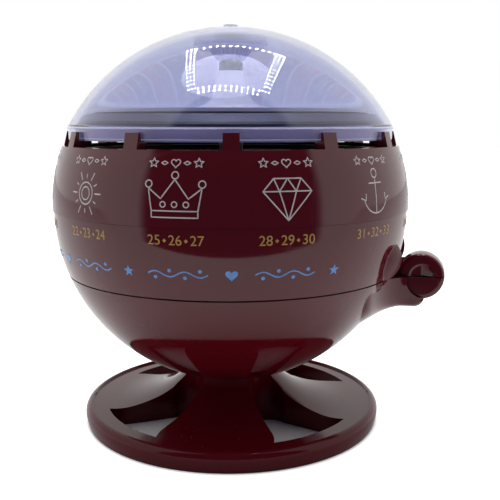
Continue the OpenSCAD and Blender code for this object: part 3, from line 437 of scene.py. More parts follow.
def roundEdges(piece, width, sharpest, segments, miter="MITER_SHARP"):
    rounded = piece.modifiers.new("edges", "BEVEL")
    rounded.limit_method = "ANGLE"
    rounded.angle_limit = math.radians(sharpest)
    rounded.width = width * mm
    rounded.segments = segments
    rounded.miter_outer = miter
    weighted = piece.modifiers.new("shading", "WEIGHTED_NORMAL")
    weighted.keep_sharp = True


# Lengths here are in metres, as the copies are; angles in degrees
copying = {"merge": 2e-6, "flat": 0.6, "smooth": 50, "sharpest": 32, "segments": 2}


# A moulding's own solid, merged and with its edges rounded off a little
def dressed(name, nodeName, bodyName, material, edge):
    bm = bmesh.new()
    bm.from_mesh(nodes[nodeName].data)
    bmesh.ops.remove_doubles(bm, verts=bm.verts, dist=copying["merge"])
    bmesh.ops.dissolve_limit(bm, angle_limit=math.radians(copying["flat"]), verts=bm.verts, edges=bm.edges)
    piece = finishPiece(name, bm, finish[material], bodyName, copying["smooth"])
    roundEdges(piece, edge, copying["sharpest"], copying["segments"], "MITER_ARC")
    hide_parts(nodeName)


print("mouldings")
dressed("ringMoulding", "upper_ring", "housing", "maroon_plastic", 0.34)
dressed("middleShell", "mid_shell", "housing", "shell", 0.4)
dressed("leverArm", "lever", "lever_unit", "maroon_plastic", 0.3)
dressed("leverGrip", "lever_grip", "lever_unit", "grip", 0.5)


# Lines on a plane

def arc(x, y, r, start, end, steps=14, squash=1.0):
    angles = [math.radians(start + (end - start) * i / steps) for i in range(steps + 1)]
    return [(x + r * math.cos(a), y + r * squash * math.sin(a)) for a in angles]


def spun(points, turn, x=0.0, y=0.0):
    c, s = math.cos(math.radians(turn)), math.sin(math.radians(turn))
    return [(x + px * c - py * s, y + px * s + py * c) for px, py in points]


# A line through the given points without corners
def flowing(points, parts=5):
    ends = [points[0]] + points + [points[-1]]
    line = []
    for a, b, c, d in zip(ends, ends[1:], ends[2:], ends[3:]):
        for k in range(parts):
            t = k / parts
            line.append(tuple(0.5 * (2 * q + (r - p) * t + (2 * p - 5 * q + 4 * r - s) * t ** 2
                                     + (3 * q - p - 3 * r + s) * t ** 3) for p, q, r, s in zip(a, b, c, d)))
    return line + [points[-1]]


# Solids in millimetres, which are joined and cut before they become pieces

roundSteps = {"stand": 192, "bowl": 180, "drum": 128, "seat": 96, "screw": 64}


def solidObject(name, bm):
    closeUp(bm, mergeGap)
    return linked(name, meshFromBmesh(name, bm))


def fullTurn(bm, parts, steps):
    bmesh.ops.spin(bm, geom=parts, cent=(0, 0, 0), axis=(0, 0, 1), angle=math.radians(360), steps=steps,
                   use_merge=True)


def turnedSolid(name, line, segments):
    bm = bmesh.new()
    verts = [bm.verts.new((x, 0, z)) for x, z in line]
    edges = [bm.edges.new(pair) for pair in zip(verts, verts[1:] + verts[:1])]
    fullTurn(bm, verts + edges, segments)
    return solidObject(name, bm)


def drawnOut(bm, faces, way):
    made = bmesh.ops.extrude_face_region(bm, geom=faces)
    bmesh.ops.translate(bm, vec=way, verts=[v for v in made["geom"] if isinstance(v, bmesh.types.BMVert)])


def drum(radius, thickness, y, z):
    bm = bmesh.new()
    place = Matrix.Translation((0, y, z)) @ Matrix.Rotation(math.radians(90), 4, "Y")
    bmesh.ops.create_cone(bm, cap_ends=True, segments=roundSteps["drum"], radius1=radius, radius2=radius,
                          depth=thickness, matrix=place)
    return solidObject("drum", bm)


def combined(target, tools, operation="DIFFERENCE"):
    for tool in tools:
        step = target.modifiers.new("step", "BOOLEAN")
        step.operation = operation
        step.solver = "EXACT"
        step.object = tool
    mesh = bpy.data.meshes.new_from_object(target.evaluated_get(bpy.context.evaluated_depsgraph_get()))
    target.modifiers.clear()
    target.data = mesh
    for tool in tools:
        bpy.data.objects.remove(tool)


turning = {"merge": 2e-6, "smooth": 40, "sharpest": 35, "segments": 3}


# A finished moulding from a solid in millimetres, with its edges rounded off
def mouldingFrom(name, solid, edge, *replaced):
    bm = bmesh.new()
    bm.from_mesh(solid.data)
    bpy.data.objects.remove(solid)
    toMetres(bm)
    bmesh.ops.remove_doubles(bm, verts=bm.verts, dist=turning["merge"])
    piece = finishPiece(name, bm, finish["maroon_plastic"], "housing", turning["smooth"])
    roundEdges(piece, edge, turning["sharpest"], turning["segments"])
    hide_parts(*replaced)
    return piece


# The stand: a flared column whose skin runs out into a ring, with four windows and hollow below
standShape = {
    "turn": 7.0, "wall": 2.0, "edge": 0.6, "rim": (48.9, 5.7), "bead": (49.3, 4.1, 2.3),
    "foot": [(51.6, 3.2), (51.33, 1.6), (50.8, 0)],
    "column": [(6, -1), (6, 9.5)], "hollowFrom": 17.0, "hollowEnd": [(49.2, 4.0), (49.2, -1)],
    "seat": [(0, 13.5), (0, 30), (11.2, 30), (11.2, 13.5)],
    "bowlRadius": 59.75, "bowlCentre": 74.5, "bowlTop": 40,
    "screwWay": [(0, -1), (0, 16), (2.7, 16), (2.7, 7.6), (5.8, 7.6), (5.8, -1)],
}
standSkin = [(16.0, 17.2), (17.58, 14.9), (20.11, 12.6), (23.58, 10.3), (28.01, 8.35), (34.01, 6.74),
             (40.02, 5.93), (47.6, 5.7)]
standWindow = {"turns": (45, 135, 225, 315), "far": 44.0, "near": 13.8, "rounding": 6.8, "half": 18.4,
               "flare": 7.5, "flareOver": 11.0, "low": -3.0, "height": 30.0,
               "sideSteps": 16, "farSteps": 24, "nearSteps": 16, "cornerGap": 0.05}


# One window's outline; an inset leaves room for the wall
def windowOutline(inset):
    shape = standWindow
    far, over, sideSteps, farSteps = shape["far"], shape["flareOver"], shape["sideSteps"], shape["farSteps"]
    start = shape["near"] + shape["rounding"]
    reach = far + inset
    side = []
    for i in range(sideSteps + 1):
        r = start + (far - start) * i / sideSteps
        flare = shape["flare"] * max(0, (r - far + over) / over) ** 3
        side.append((r, r * math.sin(math.radians(shape["half"] + flare)) + inset))
    side = [(x, y) for x, y in side if math.hypot(x, y) < reach - shape["cornerGap"]]
    last = math.asin(side[-1][1] / reach)
    angles = [last * (1 - 2 * k / farSteps) for k in range(farSteps + 1)]
    farEdge = [(reach * math.cos(a), reach * math.sin(a)) for a in angles]
    nearEdge = arc(start, 0, shape["rounding"] + inset, 270, 90, shape["nearSteps"])[1:-1]
    return side + farEdge + [(x, -y) for x, y in reversed(side)] + nearEdge


def windowCutter(inset):
    bm = bmesh.new()
    for turn in standWindow["turns"]:
        outline = spun(windowOutline(inset), turn)
        face = bm.faces.new([bm.verts.new((x, y, standWindow["low"])) for x, y in outline])
        drawnOut(bm, [face], (0, 0, standWindow["height"]))
    return solidObject("cutter", bm)


def makeStand():
    shape = standShape
    skin = flowing(standSkin)
    outside = [(0, 0), (0, standSkin[0][1])] + skin + [shape["rim"]]
    outside += arc(*shape["bead"], 90, 0, 10) + shape["foot"]
    under = [(x, z - shape["wall"]) for x, z in skin if x > shape["hollowFrom"]]
    hollow = turnedSolid("hollow", shape["column"] + under + shape["hollowEnd"], roundSteps["stand"])
    combined(hollow, [windowCutter(shape["wall"])])
    solid = turnedSolid("stand", outside, roundSteps["stand"])
    seat = turnedSolid("seat", shape["seat"], roundSteps["seat"])
    ball = [(shape["bowlRadius"] * math.sin(a), shape["bowlCentre"] - shape["bowlRadius"] * math.cos(a))
            for a in (math.radians(k) for k in range(0, 31, 2))]
    bowl = turnedSolid("bowl", ball + [(0, shape["bowlTop"])], roundSteps["seat"])
    screwWay = turnedSolid("way", shape["screwWay"], roundSteps["screw"])
    combined(solid, [windowCutter(0), hollow, seat, bowl, screwWay])
    solid.data.transform(Matrix.Rotation(math.radians(shape["turn"]), 4, "Z"))
    piece = mouldingFrom("standMoulding", solid, shape["edge"], "base_stand", "stand_legs", "foot_ring")
    piece.data.materials[0] = finish["stand"]


# The lower bowl with the spout that grows out of it below the grip, all in millimetres
bowlShape = {
    "centre": 74.5, "outer": 59.6, "inner": 57.4, "seam": 53.15, "seamRadius": 55.65, "edge": 0.45,
    "insideRise": 3.0, "tongue": (54.38, 53.38, 50.15, 55.15), "foot": (11.0, 13.5, 19.0),
    "screwWay": [(0, 12), (2.7, 12), (2.7, 15.9), (5.5, 15.9), (5.5, 24), (0, 24)],
}
spoutShape = {
    "root": -11.65, "foot": -5.15, "bend": 2.85, "end": 10.55, "round": 3.4, "leastRound": 0.04,
    "tipWidth": 6.3, "footWidth": 21.0, "flare": 3.3, "footSpread": 2.8,
    "keel": 10.75, "footKeel": 18.5, "keelFlare": 1.6,
    "squareFrom": 0.5, "squareOver": 8.0, "sidePower": 0.75, "keelPower": 0.6,
    "rows": 46, "rowPower": 1.25, "columns": 40,
}
gripRoom = {"y": -64.9, "z": 53.15, "radius": 7.7, "thickness": 9.4, "gap": 0.4}
gripHollow = {"y": -66.5, "z": 52.25, "radius": 6.1, "length": 60.0}
armWay = {"middle": (0, -55.65, 58.14), "size": (9.2, 30, 10)}
outletWay = {"half": 4.2, "side": [(36.5, 50.3), (52.05, 45.4), (58.0, 43.9), (64.8, 43.9), (64.8, 58.15),
                                   (36.5, 58.15)]}


# One section across the spout, d in front of the seam: round at its foot, squarer at its mouth
def spoutSection(d):
    shape = spoutShape
    widening = min(1, max(0, shape["end"] - d) / (shape["end"] - shape["foot"])) ** shape["flare"]
    half = shape["tipWidth"] + (shape["footWidth"] - shape["tipWidth"]) * widening
    if d < shape["foot"]:
        half += shape["footSpread"] * (1 - math.exp(d - shape["foot"]))
    deepening = max(0, (shape["bend"] - d) / (shape["bend"] - shape["root"])) ** shape["keelFlare"]
    deep = shape["keel"] + (shape["footKeel"] - shape["keel"]) * deepening
    turned = d - (shape["end"] - shape["round"])
    if turned > 0:
        deep -= shape["round"] - math.sqrt(max(shape["leastRound"], shape["round"] ** 2 - turned ** 2))
    square = min(1, max(0, (d - shape["foot"] + shape["squareFrom"]) / shape["squareOver"]))
    square = square * square * (3 - 2 * square)
    line = []
    for i in range(shape["columns"] + 1):
        t = math.pi * i / shape["columns"]
        c, s = math.cos(t), math.sin(t)
        wide = square * math.copysign(abs(c) ** shape["sidePower"], c) + (1 - square) * c
        low = square * max(0, s) ** shape["keelPower"] + (1 - square) * s
        line.append((half * wide, -bowlShape["seamRadius"] - d, bowlShape["seam"] - deep * low))
    return line


def spoutSolid():
    bm = bmesh.new()
    rows, root, length = spoutShape["rows"], spoutShape["root"], spoutShape["end"] - spoutShape["root"]
    loops, ends = [], []
    for j in range(rows + 1):
        d = root + length * (1 - (1 - j / rows) ** spoutShape["rowPower"])
        verts = [bm.verts.new(p) for p in spoutSection(d)]
        loops += [bm.edges.new(pair) for pair in zip(verts, verts[1:] + verts[:1])]
        if j in (0, rows):
            ends.append(verts)
    bmesh.ops.bridge_loops(bm, edges=loops)
    for verts in ends:
        bmesh.ops.contextual_create(bm, geom=verts)
    return solidObject("spout", bm)


# The lower part of a ball up to a level, as a line to turn
def ballLine(radius, top, steps=64):
    centre = bowlShape["centre"]
    last = math.acos((centre - top) / radius)
    return [(radius * math.sin(last * k / steps), centre - radius * math.cos(last * k / steps))
            for k in range(steps + 1)] + [(0, top)]


def makeLowerBowl():
    shape, steps = bowlShape, roundSteps["bowl"]
    solid = turnedSolid("bowl", ballLine(shape["outer"], shape["seam"]), steps)
    combined(solid, [spoutSolid()], "UNION")
    inside = ballLine(shape["inner"], shape["seam"] + shape["insideRise"])
    combined(solid, [turnedSolid("inside", inside, steps)])
    outer, inner, low, high = shape["tongue"]
    tongue = turnedSolid("tongue", [(inner, low), (outer, low), (outer, high), (inner, high)], steps)
    outer, low, high = shape["foot"]
    foot = turnedSolid("foot", [(0, low), (outer, low), (outer, high), (0, high)], roundSteps["seat"])
    combined(solid, [tongue, foot], "UNION")
    bm = bmesh.new()
    face = bm.faces.new([bm.verts.new((-outletWay["half"], -y, z)) for y, z in outletWay["side"]])
    drawnOut(bm, [face], (2 * outletWay["half"], 0, 0))
    outlet = solidObject("outlet", bm)
    screwWay = turnedSolid("way", shape["screwWay"], roundSteps["screw"])
    gap = gripRoom["gap"]
    room = drum(gripRoom["radius"] + gap, gripRoom["thickness"] + 2 * gap, gripRoom["y"], gripRoom["z"])
    below = drum(gripHollow["radius"], gripHollow["length"], gripHollow["y"], gripHollow["z"])
    bm = bmesh.new()
    place = Matrix.Translation(armWay["middle"]) @ Matrix.Diagonal((*armWay["size"], 1))
    bmesh.ops.create_cube(bm, size=1, matrix=place)
    combined(solid, [outlet, screwWay, room, below, solidObject("armWay", bm)])
    mouldingFrom("lowerBowl", solid, shape["edge"], "lower_bowl")


# The dome's cut edges catch the light; fine pale rims at the lip and at the foot of the upright band paint
# that highlight
rimHighlights = {"segments": 192, "sides": 10, "lip": (53.75, 101.0, 0.24), "foot": (51.5, 97.75, 0.36)}


def makeRimHighlights():
    for label in ("lip", "foot"):
        radius, level, wire = rimHighlights[label]
        bm = bmesh.new()
        place = Matrix.Translation((radius, 0, level)) @ Matrix.Rotation(math.radians(90), 4, "X")
        bmesh.ops.create_circle(bm, segments=rimHighlights["sides"], radius=wire, matrix=place)
        fullTurn(bm, bm.verts[:] + bm.edges[:], rimHighlights["segments"])
        closeUp(bm, mergeGap)
        toMetres(bm)
        finishPiece(f"domeRim.{label}", bm, finish["edge"], "housing")


# A round wire wound round an axis along y, with its end turns closed up
springCoil = {"x": 12.0, "z": 54.3, "front": -42.9, "rear": -20.1, "radius": 2.9, "wire": 0.8, "turns": 7,
              "closedTurns": 1, "closedPitch": 1.02, "stepsPerTurn": 32, "sides": 10, "travel": 13.0}


def makeReturnSpring():
    bm = bmesh.new()
    radius, wire, ends = springCoil["radius"], springCoil["wire"], springCoil["closedTurns"]
    start = Matrix.Translation((springCoil["x"] + radius, springCoil["rear"] - wire / 2, springCoil["z"]))
    bmesh.ops.create_circle(bm, cap_ends=True, segments=springCoil["sides"], radius=wire / 2, matrix=start)
    span = springCoil["rear"] - springCoil["front"]
    closed = ends * wire * springCoil["closedPitch"]
    wound = springCoil["turns"] - 2 * ends
    end = list(bm.verts) + list(bm.edges) + list(bm.faces)
    axisAt = Vector((springCoil["x"], 0, springCoil["z"]))
    for turns, rise in ((ends, closed), (wound, span - wire - 2 * closed), (ends, closed)):
        steps = turns * springCoil["stepsPerTurn"]
        made = bmesh.ops.spin(bm, geom=end, cent=axisAt, axis=(0, 1, 0), dvec=(0, -rise / steps, 0),
                              angle=math.radians(360 * turns), steps=steps)
        end = made["geom_last"]
    bmesh.ops.recalc_face_normals(bm, faces=bm.faces)
    toMetres(bm)
    piece = finishPiece("returnSpring", bm, finish["steel"], "lever_unit")
    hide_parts("return_spring")
    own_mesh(piece)


print("dome rims")
makeRimHighlights()
print("spring")
makeReturnSpring()


# Flat drawings in millimetres, and how they are laid on the shells

def meshFromCurve(curve):
    holder = linked(curve.name, curve)
    graph = bpy.context.evaluated_depsgraph_get()
    mesh = bpy.data.meshes.new_from_object(holder.evaluated_get(graph))
    bpy.data.objects.remove(holder)
    return mesh


def addSpline(curve, points, closed):
    spline = curve.splines.new("POLY")
    spline.points.add(len(points) - 1)
    spline.use_cyclic_u = closed
    for target, (x, y) in zip(spline.points, points):
        target.co = (x, y, 0, 1)


# More points along a drawn line, so that it follows the ball it is laid on
def denser(points, closed, step=0.7):
    path = list(points) + (list(points[:1]) if closed else [])
    fine = []
    for (x0, y0), (x1, y1) in zip(path, path[1:]):
        parts = max(1, math.ceil(math.hypot(x1 - x0, y1 - y0) / step))
        fine += [(x0 + (x1 - x0) * i / parts, y0 + (y1 - y0) * i / parts) for i in range(parts)]
    return fine if closed else fine + [path[-1]]


def strokeMesh(strokes, width, flatness=0.3):
    curve = bpy.data.curves.new("strokes", "CURVE")
    curve.dimensions = "3D"
    curve.bevel_depth = width / 2
    curve.bevel_resolution = 1
    curve.use_fill_caps = True
    for corners, closed in strokes:
        addSpline(curve, denser(corners, closed), closed)
    mesh = meshFromCurve(curve)
    for v in mesh.vertices:
        v.co.z *= flatness
    return mesh


def filledMesh(outline, thickness=0.05):
    curve = bpy.data.curves.new("filled", "CURVE")
    curve.dimensions = "2D"
    curve.fill_mode = "BOTH"
    curve.extrude = thickness
    addSpline(curve, outline, True)
    return meshFromCurve(curve)


def textMesh(words, size, thickness=0.05):
    curve = bpy.data.curves.new("numeral", "FONT")
    curve.body = words
    curve.size = size
    curve.extrude = thickness
    curve.align_x = "CENTER"
    curve.align_y = "CENTER"
    return meshFromCurve(curve)


# Lays a flat drawing on a ball: x runs round it, y up it
def wrapOnBall(mesh, radius, centre, azimuth, level):
    tilt = math.asin((level - centre) / radius)
    for v in mesh.vertices:
        around = math.radians(azimuth) + v.co.x / (radius * math.cos(tilt))
        up = tilt + v.co.y / radius
        reach = radius + v.co.z
        flat = reach * math.cos(up)
        v.co = Vector((flat * math.cos(around), flat * math.sin(around), centre + reach * math.sin(up))) * mm
    return mesh


def onRing(mesh, azimuth, level):
    return wrapOnBall(mesh, body["ringRadius"], body["ringCentre"], azimuth, level)


def onShell(mesh, azimuth, level):
    return wrapOnBall(mesh, body["shellRadius"], body["shellCentre"], azimuth, level)


def ring(x, y, r, steps=22):
    return arc(x, y, r, 0, 360 - 360 / steps, steps - 1), True


def flipped(points):
    return [(-x, y) for x, y in points]


def starPoints(r, x=0.0, inner=0.42, tips=5):
    points = []
    for k in range(2 * tips):
        reach = r if k % 2 == 0 else r * inner
        a = math.radians(90 + 180 * k / tips)
        points.append((x + reach * math.cos(a), reach * math.sin(a)))
    return points


def heartPoints(size, steps=28):
    unit = size / 16
    return [(16 * unit * math.sin(t) ** 3,
             unit * (13 * math.cos(t) - 5 * math.cos(2 * t) - 2 * math.cos(3 * t) - math.cos(4 * t)))
            for t in (2 * math.pi * i / steps for i in range(steps))]


def drawSun():
    rays = [([(r * math.cos(a), r * math.sin(a)) for r in (3.9, 6.2 if k % 2 == 0 else 5.1)], False)
            for k in range(12) for a in [math.radians(30 * k)]]
    return [ring(0, 0, 2.9), ring(0, 0, 1.7)] + rays


def drawClover():
    leaf = [(x, y + 3.1) for x, y in heartPoints(2.5)]
    leaves = [(spun(leaf, turn, 0, 0.9), True) for turn in (0, 90, 180, 270)]
    stem = arc(4.5, -2.0, 4.4, 170, 245, 8)
    return leaves + [(stem, False)]


def drawCrown():
    outline = [(-6, -3.2), (-7, 2.4), (-3.6, -0.2), (0, 4.6), (3.6, -0.2), (7, 2.4), (6, -3.2)]
    band = [([(-6, -4.8), (6, -4.8), (6, -3.2), (-6, -3.2)], True)]
    tips = [ring(-7, 3.4, 0.9, 12), ring(0, 5.6, 0.9, 12), ring(7, 3.4, 0.9, 12)]
    gems = [ring(x, -1.6, 0.7, 10) for x in (-3, 0, 3)]
    return [(outline, False)] + band + tips + gems


def drawBell():
    side = [(0.8, 4.7)] + arc(0, 1.2, 3.3, 70, 8, 8) + [(3.6, -1.4), (4.4, -3.0), (5.6, -4.2)]
    bow = [(arc(-1.9, 5.6, 1.5, -20, 300, 12, 0.7), False), (arc(1.9, 5.6, 1.5, 200, -120, 12, 0.7), False)]
    return [(side + [(-x, y) for x, y in reversed(side)], False), ([(-5.6, -4.2), (5.6, -4.2)], False),
            (arc(0, -4.2, 1.5, 180, 360, 10), False), ([(-4.1, -2.6), (4.1, -2.6)], False)] + bow


def drawKey():
    return [ring(-4.6, 0, 2.9), ring(-4.6, 0, 1.3, 14),
            ([(-1.7, 0.6), (7.4, 0.6), (7.4, -0.6), (-1.7, -0.6)], False),
            ([(3.4, -0.6), (3.4, -3.0), (4.6, -3.0), (4.6, -0.6)], False),
            ([(5.7, -0.6), (5.7, -2.2), (6.8, -2.2), (6.8, -0.6)], False)]


def drawGem():
    return [([(-6.4, 1.6), (-3.6, 4.8), (3.6, 4.8), (6.4, 1.6), (0, -5.6)], True),
            ([(-6.4, 1.6), (6.4, 1.6)], False),
            ([(-3.6, 4.8), (-2.2, 1.6), (0, -5.6), (2.2, 1.6), (3.6, 4.8)], False),
            ([(-2.2, 1.6), (0, 4.8), (2.2, 1.6)], False)]


def drawTulip():
    cup = [(-3.2, 5.2), (-3.6, 2.2), (-2.4, 0.4), (0, -0.5), (2.4, 0.4), (3.6, 2.2), (3.2, 5.2), (1.4, 3.2),
           (0, 5.6), (-1.4, 3.2)]
    leaf = arc(5.2, -6.0, 5.3, 180, 112, 9) + list(reversed(arc(1.2, -0.2, 3.8, -18, -104, 8)))
    return [(cup, True), ([(0, -0.5), (0, -6.2)], False), (leaf, False), (flipped(leaf), False)]


def drawUmbrella():
    scallops = [(arc(x, 0.4, 1.6, 180, 0, 8, 0.8), False) for x in (-4.8, -1.6, 1.6, 4.8)]
    hook = [(0, 1.6), (0, -4.2)] + arc(-1.4, -4.4, 1.4, 0, -180, 9)
    dome = (arc(0, 0.4, 6.4, 0, 180, 22, 0.85), False)
    return [dome, (hook, False), ([(0, 5.9), (0, 7.0)], False)] + scallops


def drawBoat():
    waves = [(arc(x, -6.0, 1.5, 160, 20, 6, 0.6), False) for x in (-5.4, -2.2, 1.0, 4.2)]
    sails = [([(0.8, 5.4), (5.6, -0.6), (0.8, -0.6)], True),
             ([(-0.8, 4.0), (-4.6, -0.6), (-0.8, -0.6)], True)]
    hull = ([(-6.6, -1.8), (6.6, -1.8), (4.4, -4.6), (-4.4, -4.6)], True)
    return [hull, ([(0, -1.8), (0, 6.4)], False)] + sails + waves


def drawCup():
    steam = [([(x + 0.7 * math.sin(1.5 * t), 2.6 + 0.75 * t) for t in range(6)], False) for x in (-2.4, 0.2)]
    bowl = [(-5.0, 1.6)] + arc(-0.6, 1.2, 4.4, 185, 355, 14) + [(3.8, 1.6)]
    saucer = [(arc(-0.6, -4.2, 6.2, 180, 360, 12, 0.2), False), ([(-6.8, -4.2), (5.6, -4.2)], False)]
    return [(bowl, True), (arc(4.6, 0.0, 1.8, 90, -100, 9), False)] + saucer + steam


def drawSnow():
    arm = [([(0, 0), (0, 6.2)], False), ([(-1.5, 5.2), (0, 3.9), (1.5, 5.2)], False),
           ([(-1.3, 3.2), (0, 2.1), (1.3, 3.2)], False)]
    return [(spun(points, 60 * k), closed) for k in range(6) for points, closed in arm]


def drawAnchor():
    fluke = [(-6.2, -1.2), (-4.4, -1.9), (-4.2, -0.1)]
    return [ring(0, 5.2, 1.2, 12), ([(0, 4.0), (0, -5.2)], False), ([(-2.8, 2.6), (2.8, 2.6)], False),
            (arc(0, -0.2, 5.2, 200, 340, 16), False), (fluke, False), (flipped(fluke), False)]


# From the panel right of the lever, seen from in front, and on round the body
panelDrawings = [drawUmbrella, drawKey, drawSnow, drawTulip, drawBoat, drawBell,
                 drawClover, drawSun, drawCrown, drawGem, drawAnchor, drawCup]
panelPrint = {"level": 82.6, "line": 0.36, "scale": 1.1, "markLevel": 91.9, "markLine": 0.3,
              "markSpread": 6.4, "star": 1.45, "heart": 1.3, "diamond": (1.0, 0.5)}


def diamondPoints(x, wide, high):
    return [(x - wide, 0), (x, high), (x + wide, 0), (x, -high)]


def makePanelPrints():
    size, spread = panelPrint["scale"], panelPrint["markSpread"]
    marks = [(starPoints(panelPrint["star"], x), True) for x in (-spread, spread)]
    marks += [(heartPoints(panelPrint["heart"]), True)]
    marks += [(diamondPoints(x, *panelPrint["diamond"]), True) for x in (-spread / 2, spread / 2)]
    for k, draw in enumerate(panelDrawings):
        azimuth = body["firstPanel"] + k * body["panelStep"]
        strokes = [([(x * size, y * size) for x, y in points], closed) for points, closed in draw()]
        motif = onRing(strokeMesh(strokes, panelPrint["line"]), azimuth, panelPrint["level"])
        row = onRing(strokeMesh(marks, panelPrint["markLine"]), azimuth, panelPrint["markLevel"])
        pieceFrom(f"panelPrint{k + 1:02d}", [motif, row], inks["white"], "housing")


goldPrint = {"level": 70.9, "size": 4.0, "spread": 6.2, "diamond": 0.55}


# Each panel owns three numbers of the wheel
def makeGoldNumbers():
    parts = []
    level, spread, half = goldPrint["level"], goldPrint["spread"], goldPrint["diamond"]
    for k in range(body["panels"]):
        azimuth = body["firstPanel"] + k * body["panelStep"]
        for place in (-1, 0, 1):
            numeral = textMesh(str(3 * k + 2 + place), goldPrint["size"])
            numeral.transform(Matrix.Translation((place * spread, 0, 0)))
            parts.append(onShell(numeral, azimuth, level))
        for side in (-1, 1):
            parts.append(onShell(filledMesh(diamondPoints(side * spread / 2, half, half)), azimuth, level))
    pieceFrom("goldNumbers", parts, inks["gold"], "housing")


bluePrint = {"level": 61.4, "star": 1.75, "heart": 1.75, "first": 15.0, "free": 31.0,
             "wave": 0.8, "waveHalf": 8.6, "waves": 2, "waveSteps": 40, "line": 0.42,
             "dot": 0.55, "dotHeight": 1.045, "dotPlaces": ((-0.75, -1), (-0.25, 1), (0.25, -1), (0.75, 1))}


def fromLever(azimuth):
    return abs((azimuth - body["lever"] + 180) % 360 - 180)


# A row of stars and hearts with waved lines between, broken off at the lever
def makeBlueBand():
    parts = []
    level, steps = bluePrint["level"], bluePrint["waveSteps"]
    flat = math.sqrt(body["shellRadius"] ** 2 - (level - body["shellCentre"]) ** 2)
    half = bluePrint["waveHalf"] * math.radians(1) * flat
    turn = 2 * math.pi * bluePrint["waves"]
    wave = [(-half + 2 * half * i / steps, bluePrint["wave"] * math.sin(turn * i / steps))
            for i in range(steps + 1)]
    for k in range(body["panels"]):
        azimuth = bluePrint["first"] + k * body["panelStep"]
        middle = azimuth + body["panelStep"] / 2
        if fromLever(azimuth) > bluePrint["free"]:
            outline = starPoints(bluePrint["star"]) if k % 2 == 1 else heartPoints(bluePrint["heart"])
            parts.append(onShell(filledMesh(outline), azimuth, level))
        if fromLever(middle) < bluePrint["free"]:
            continue
        parts.append(onShell(strokeMesh([(wave, False)], bluePrint["line"]), middle, level))
        for place, side in bluePrint["dotPlaces"]:
            dot = filledMesh(ring(place * half, side * bluePrint["dotHeight"], bluePrint["dot"], 14)[0])
            parts.append(onShell(dot, middle, level))
    pieceFrom("blueBand", parts, inks["blue"], "housing")


wheelPrint = {"inner": 25.2, "outer": 45.4, "top": 106.4, "film": 0.05, "pockets": 36, "gap": 0.9, "steps": 3,
              "numeral": 3.6, "numeralAt": 42.0, "numeralFilm": 0.03, "numeralLift": 0.08}


# Coloured fields and numbers round the wheel
def makeWheelPrint():
    step = 360 / wheelPrint["pockets"]
    fields = {"red": bmesh.new(), "black": bmesh.new()}
    numerals = []
    for k in range(wheelPrint["pockets"]):
        bm = fields["red" if k % 2 == 0 else "black"]
        start = math.radians(k * step + wheelPrint["gap"] / 2)
        ends = [bm.verts.new((r * mm * math.cos(start), r * mm * math.sin(start), wheelPrint["top"] * mm))
                for r in (wheelPrint["inner"], wheelPrint["outer"])]
        edge = bm.edges.new(ends)
        bmesh.ops.spin(bm, geom=ends + [edge], cent=(0, 0, 0), axis=(0, 0, 1), steps=wheelPrint["steps"],
                       angle=math.radians(step - wheelPrint["gap"]), use_duplicate=False)
        numeral = textMesh(str(k + 1), wheelPrint["numeral"], wheelPrint["numeralFilm"])
        turn = Matrix.Rotation(math.radians((k + 0.5) * step - 90), 4, "Z")
        height = wheelPrint["top"] + wheelPrint["numeralLift"]
        numeral.transform(turn @ Matrix.Translation((0, wheelPrint["numeralAt"], height)))
        numeral.transform(Matrix.Scale(mm, 4))
        numerals.append(numeral)
    for ink, bm in fields.items():
        drawnOut(bm, list(bm.faces), (0, 0, wheelPrint["film"] * mm))
        bmesh.ops.recalc_face_normals(bm, faces=bm.faces)
        finishPiece(f"{ink}Fields", bm, inks[ink], "wheel")
    pieceFrom("wheelNumbers", numerals, inks["white"], "wheel")


print("stand")
makeStand()
print("bowl")
makeLowerBowl()
print("prints")
makePanelPrints()
makeGoldNumbers()
makeBlueBand()
print("wheel print")
makeWheelPrint()

# The set: a pale floor in a white tent, with its dark opening on the camera's side
camera = {"azimuth": 195.0, "distance": 0.2601, "height": 0.1025, "pitch": 9.56, "yaw": 1.42, "lens": 54.24,
          "sensor": 36.0, "nearest": 0.01}
tent = {"white": 1.06, "dark": 0.1, "halfWidth": 55.0, "low": -100.0, "high": 82.0, "soft": 4.0,
        "through": 25.0, "darkColour": (0.5, 0.65, 1.0, 1)}
toCamera = Vector((math.cos(math.radians(camera["azimuth"])), math.sin(math.radians(camera["azimuth"])), 0))


# A point on the camera's side of the body's axis
def cameraSide(distance, height):
    return toCamera * distance + Vector((0, 0, height))


def makeCamera():
    data = bpy.data.cameras.new("camera")
    data.lens = camera["lens"]
    data.sensor_width = camera["sensor"]
    data.clip_start = camera["nearest"]
    holder = linked("camera", data)
    holder.location = cameraSide(camera["distance"], camera["height"])
    heading = camera["azimuth"] - 180 - camera["yaw"]
    holder.rotation_euler = (math.radians(90 - camera["pitch"]), 0, math.radians(heading - 90))
    scene.camera = holder


# A band that is 1 between two limits, with soft edges
def softBand(tree, value, low, high, soft):
    rising = rangeNode(tree, value, low - soft, low + soft, interpolation="SMOOTHSTEP")
    falling = rangeNode(tree, value, high + soft, high - soft, interpolation="SMOOTHSTEP")
    return mathNode(tree, "MULTIPLY", rising, falling)


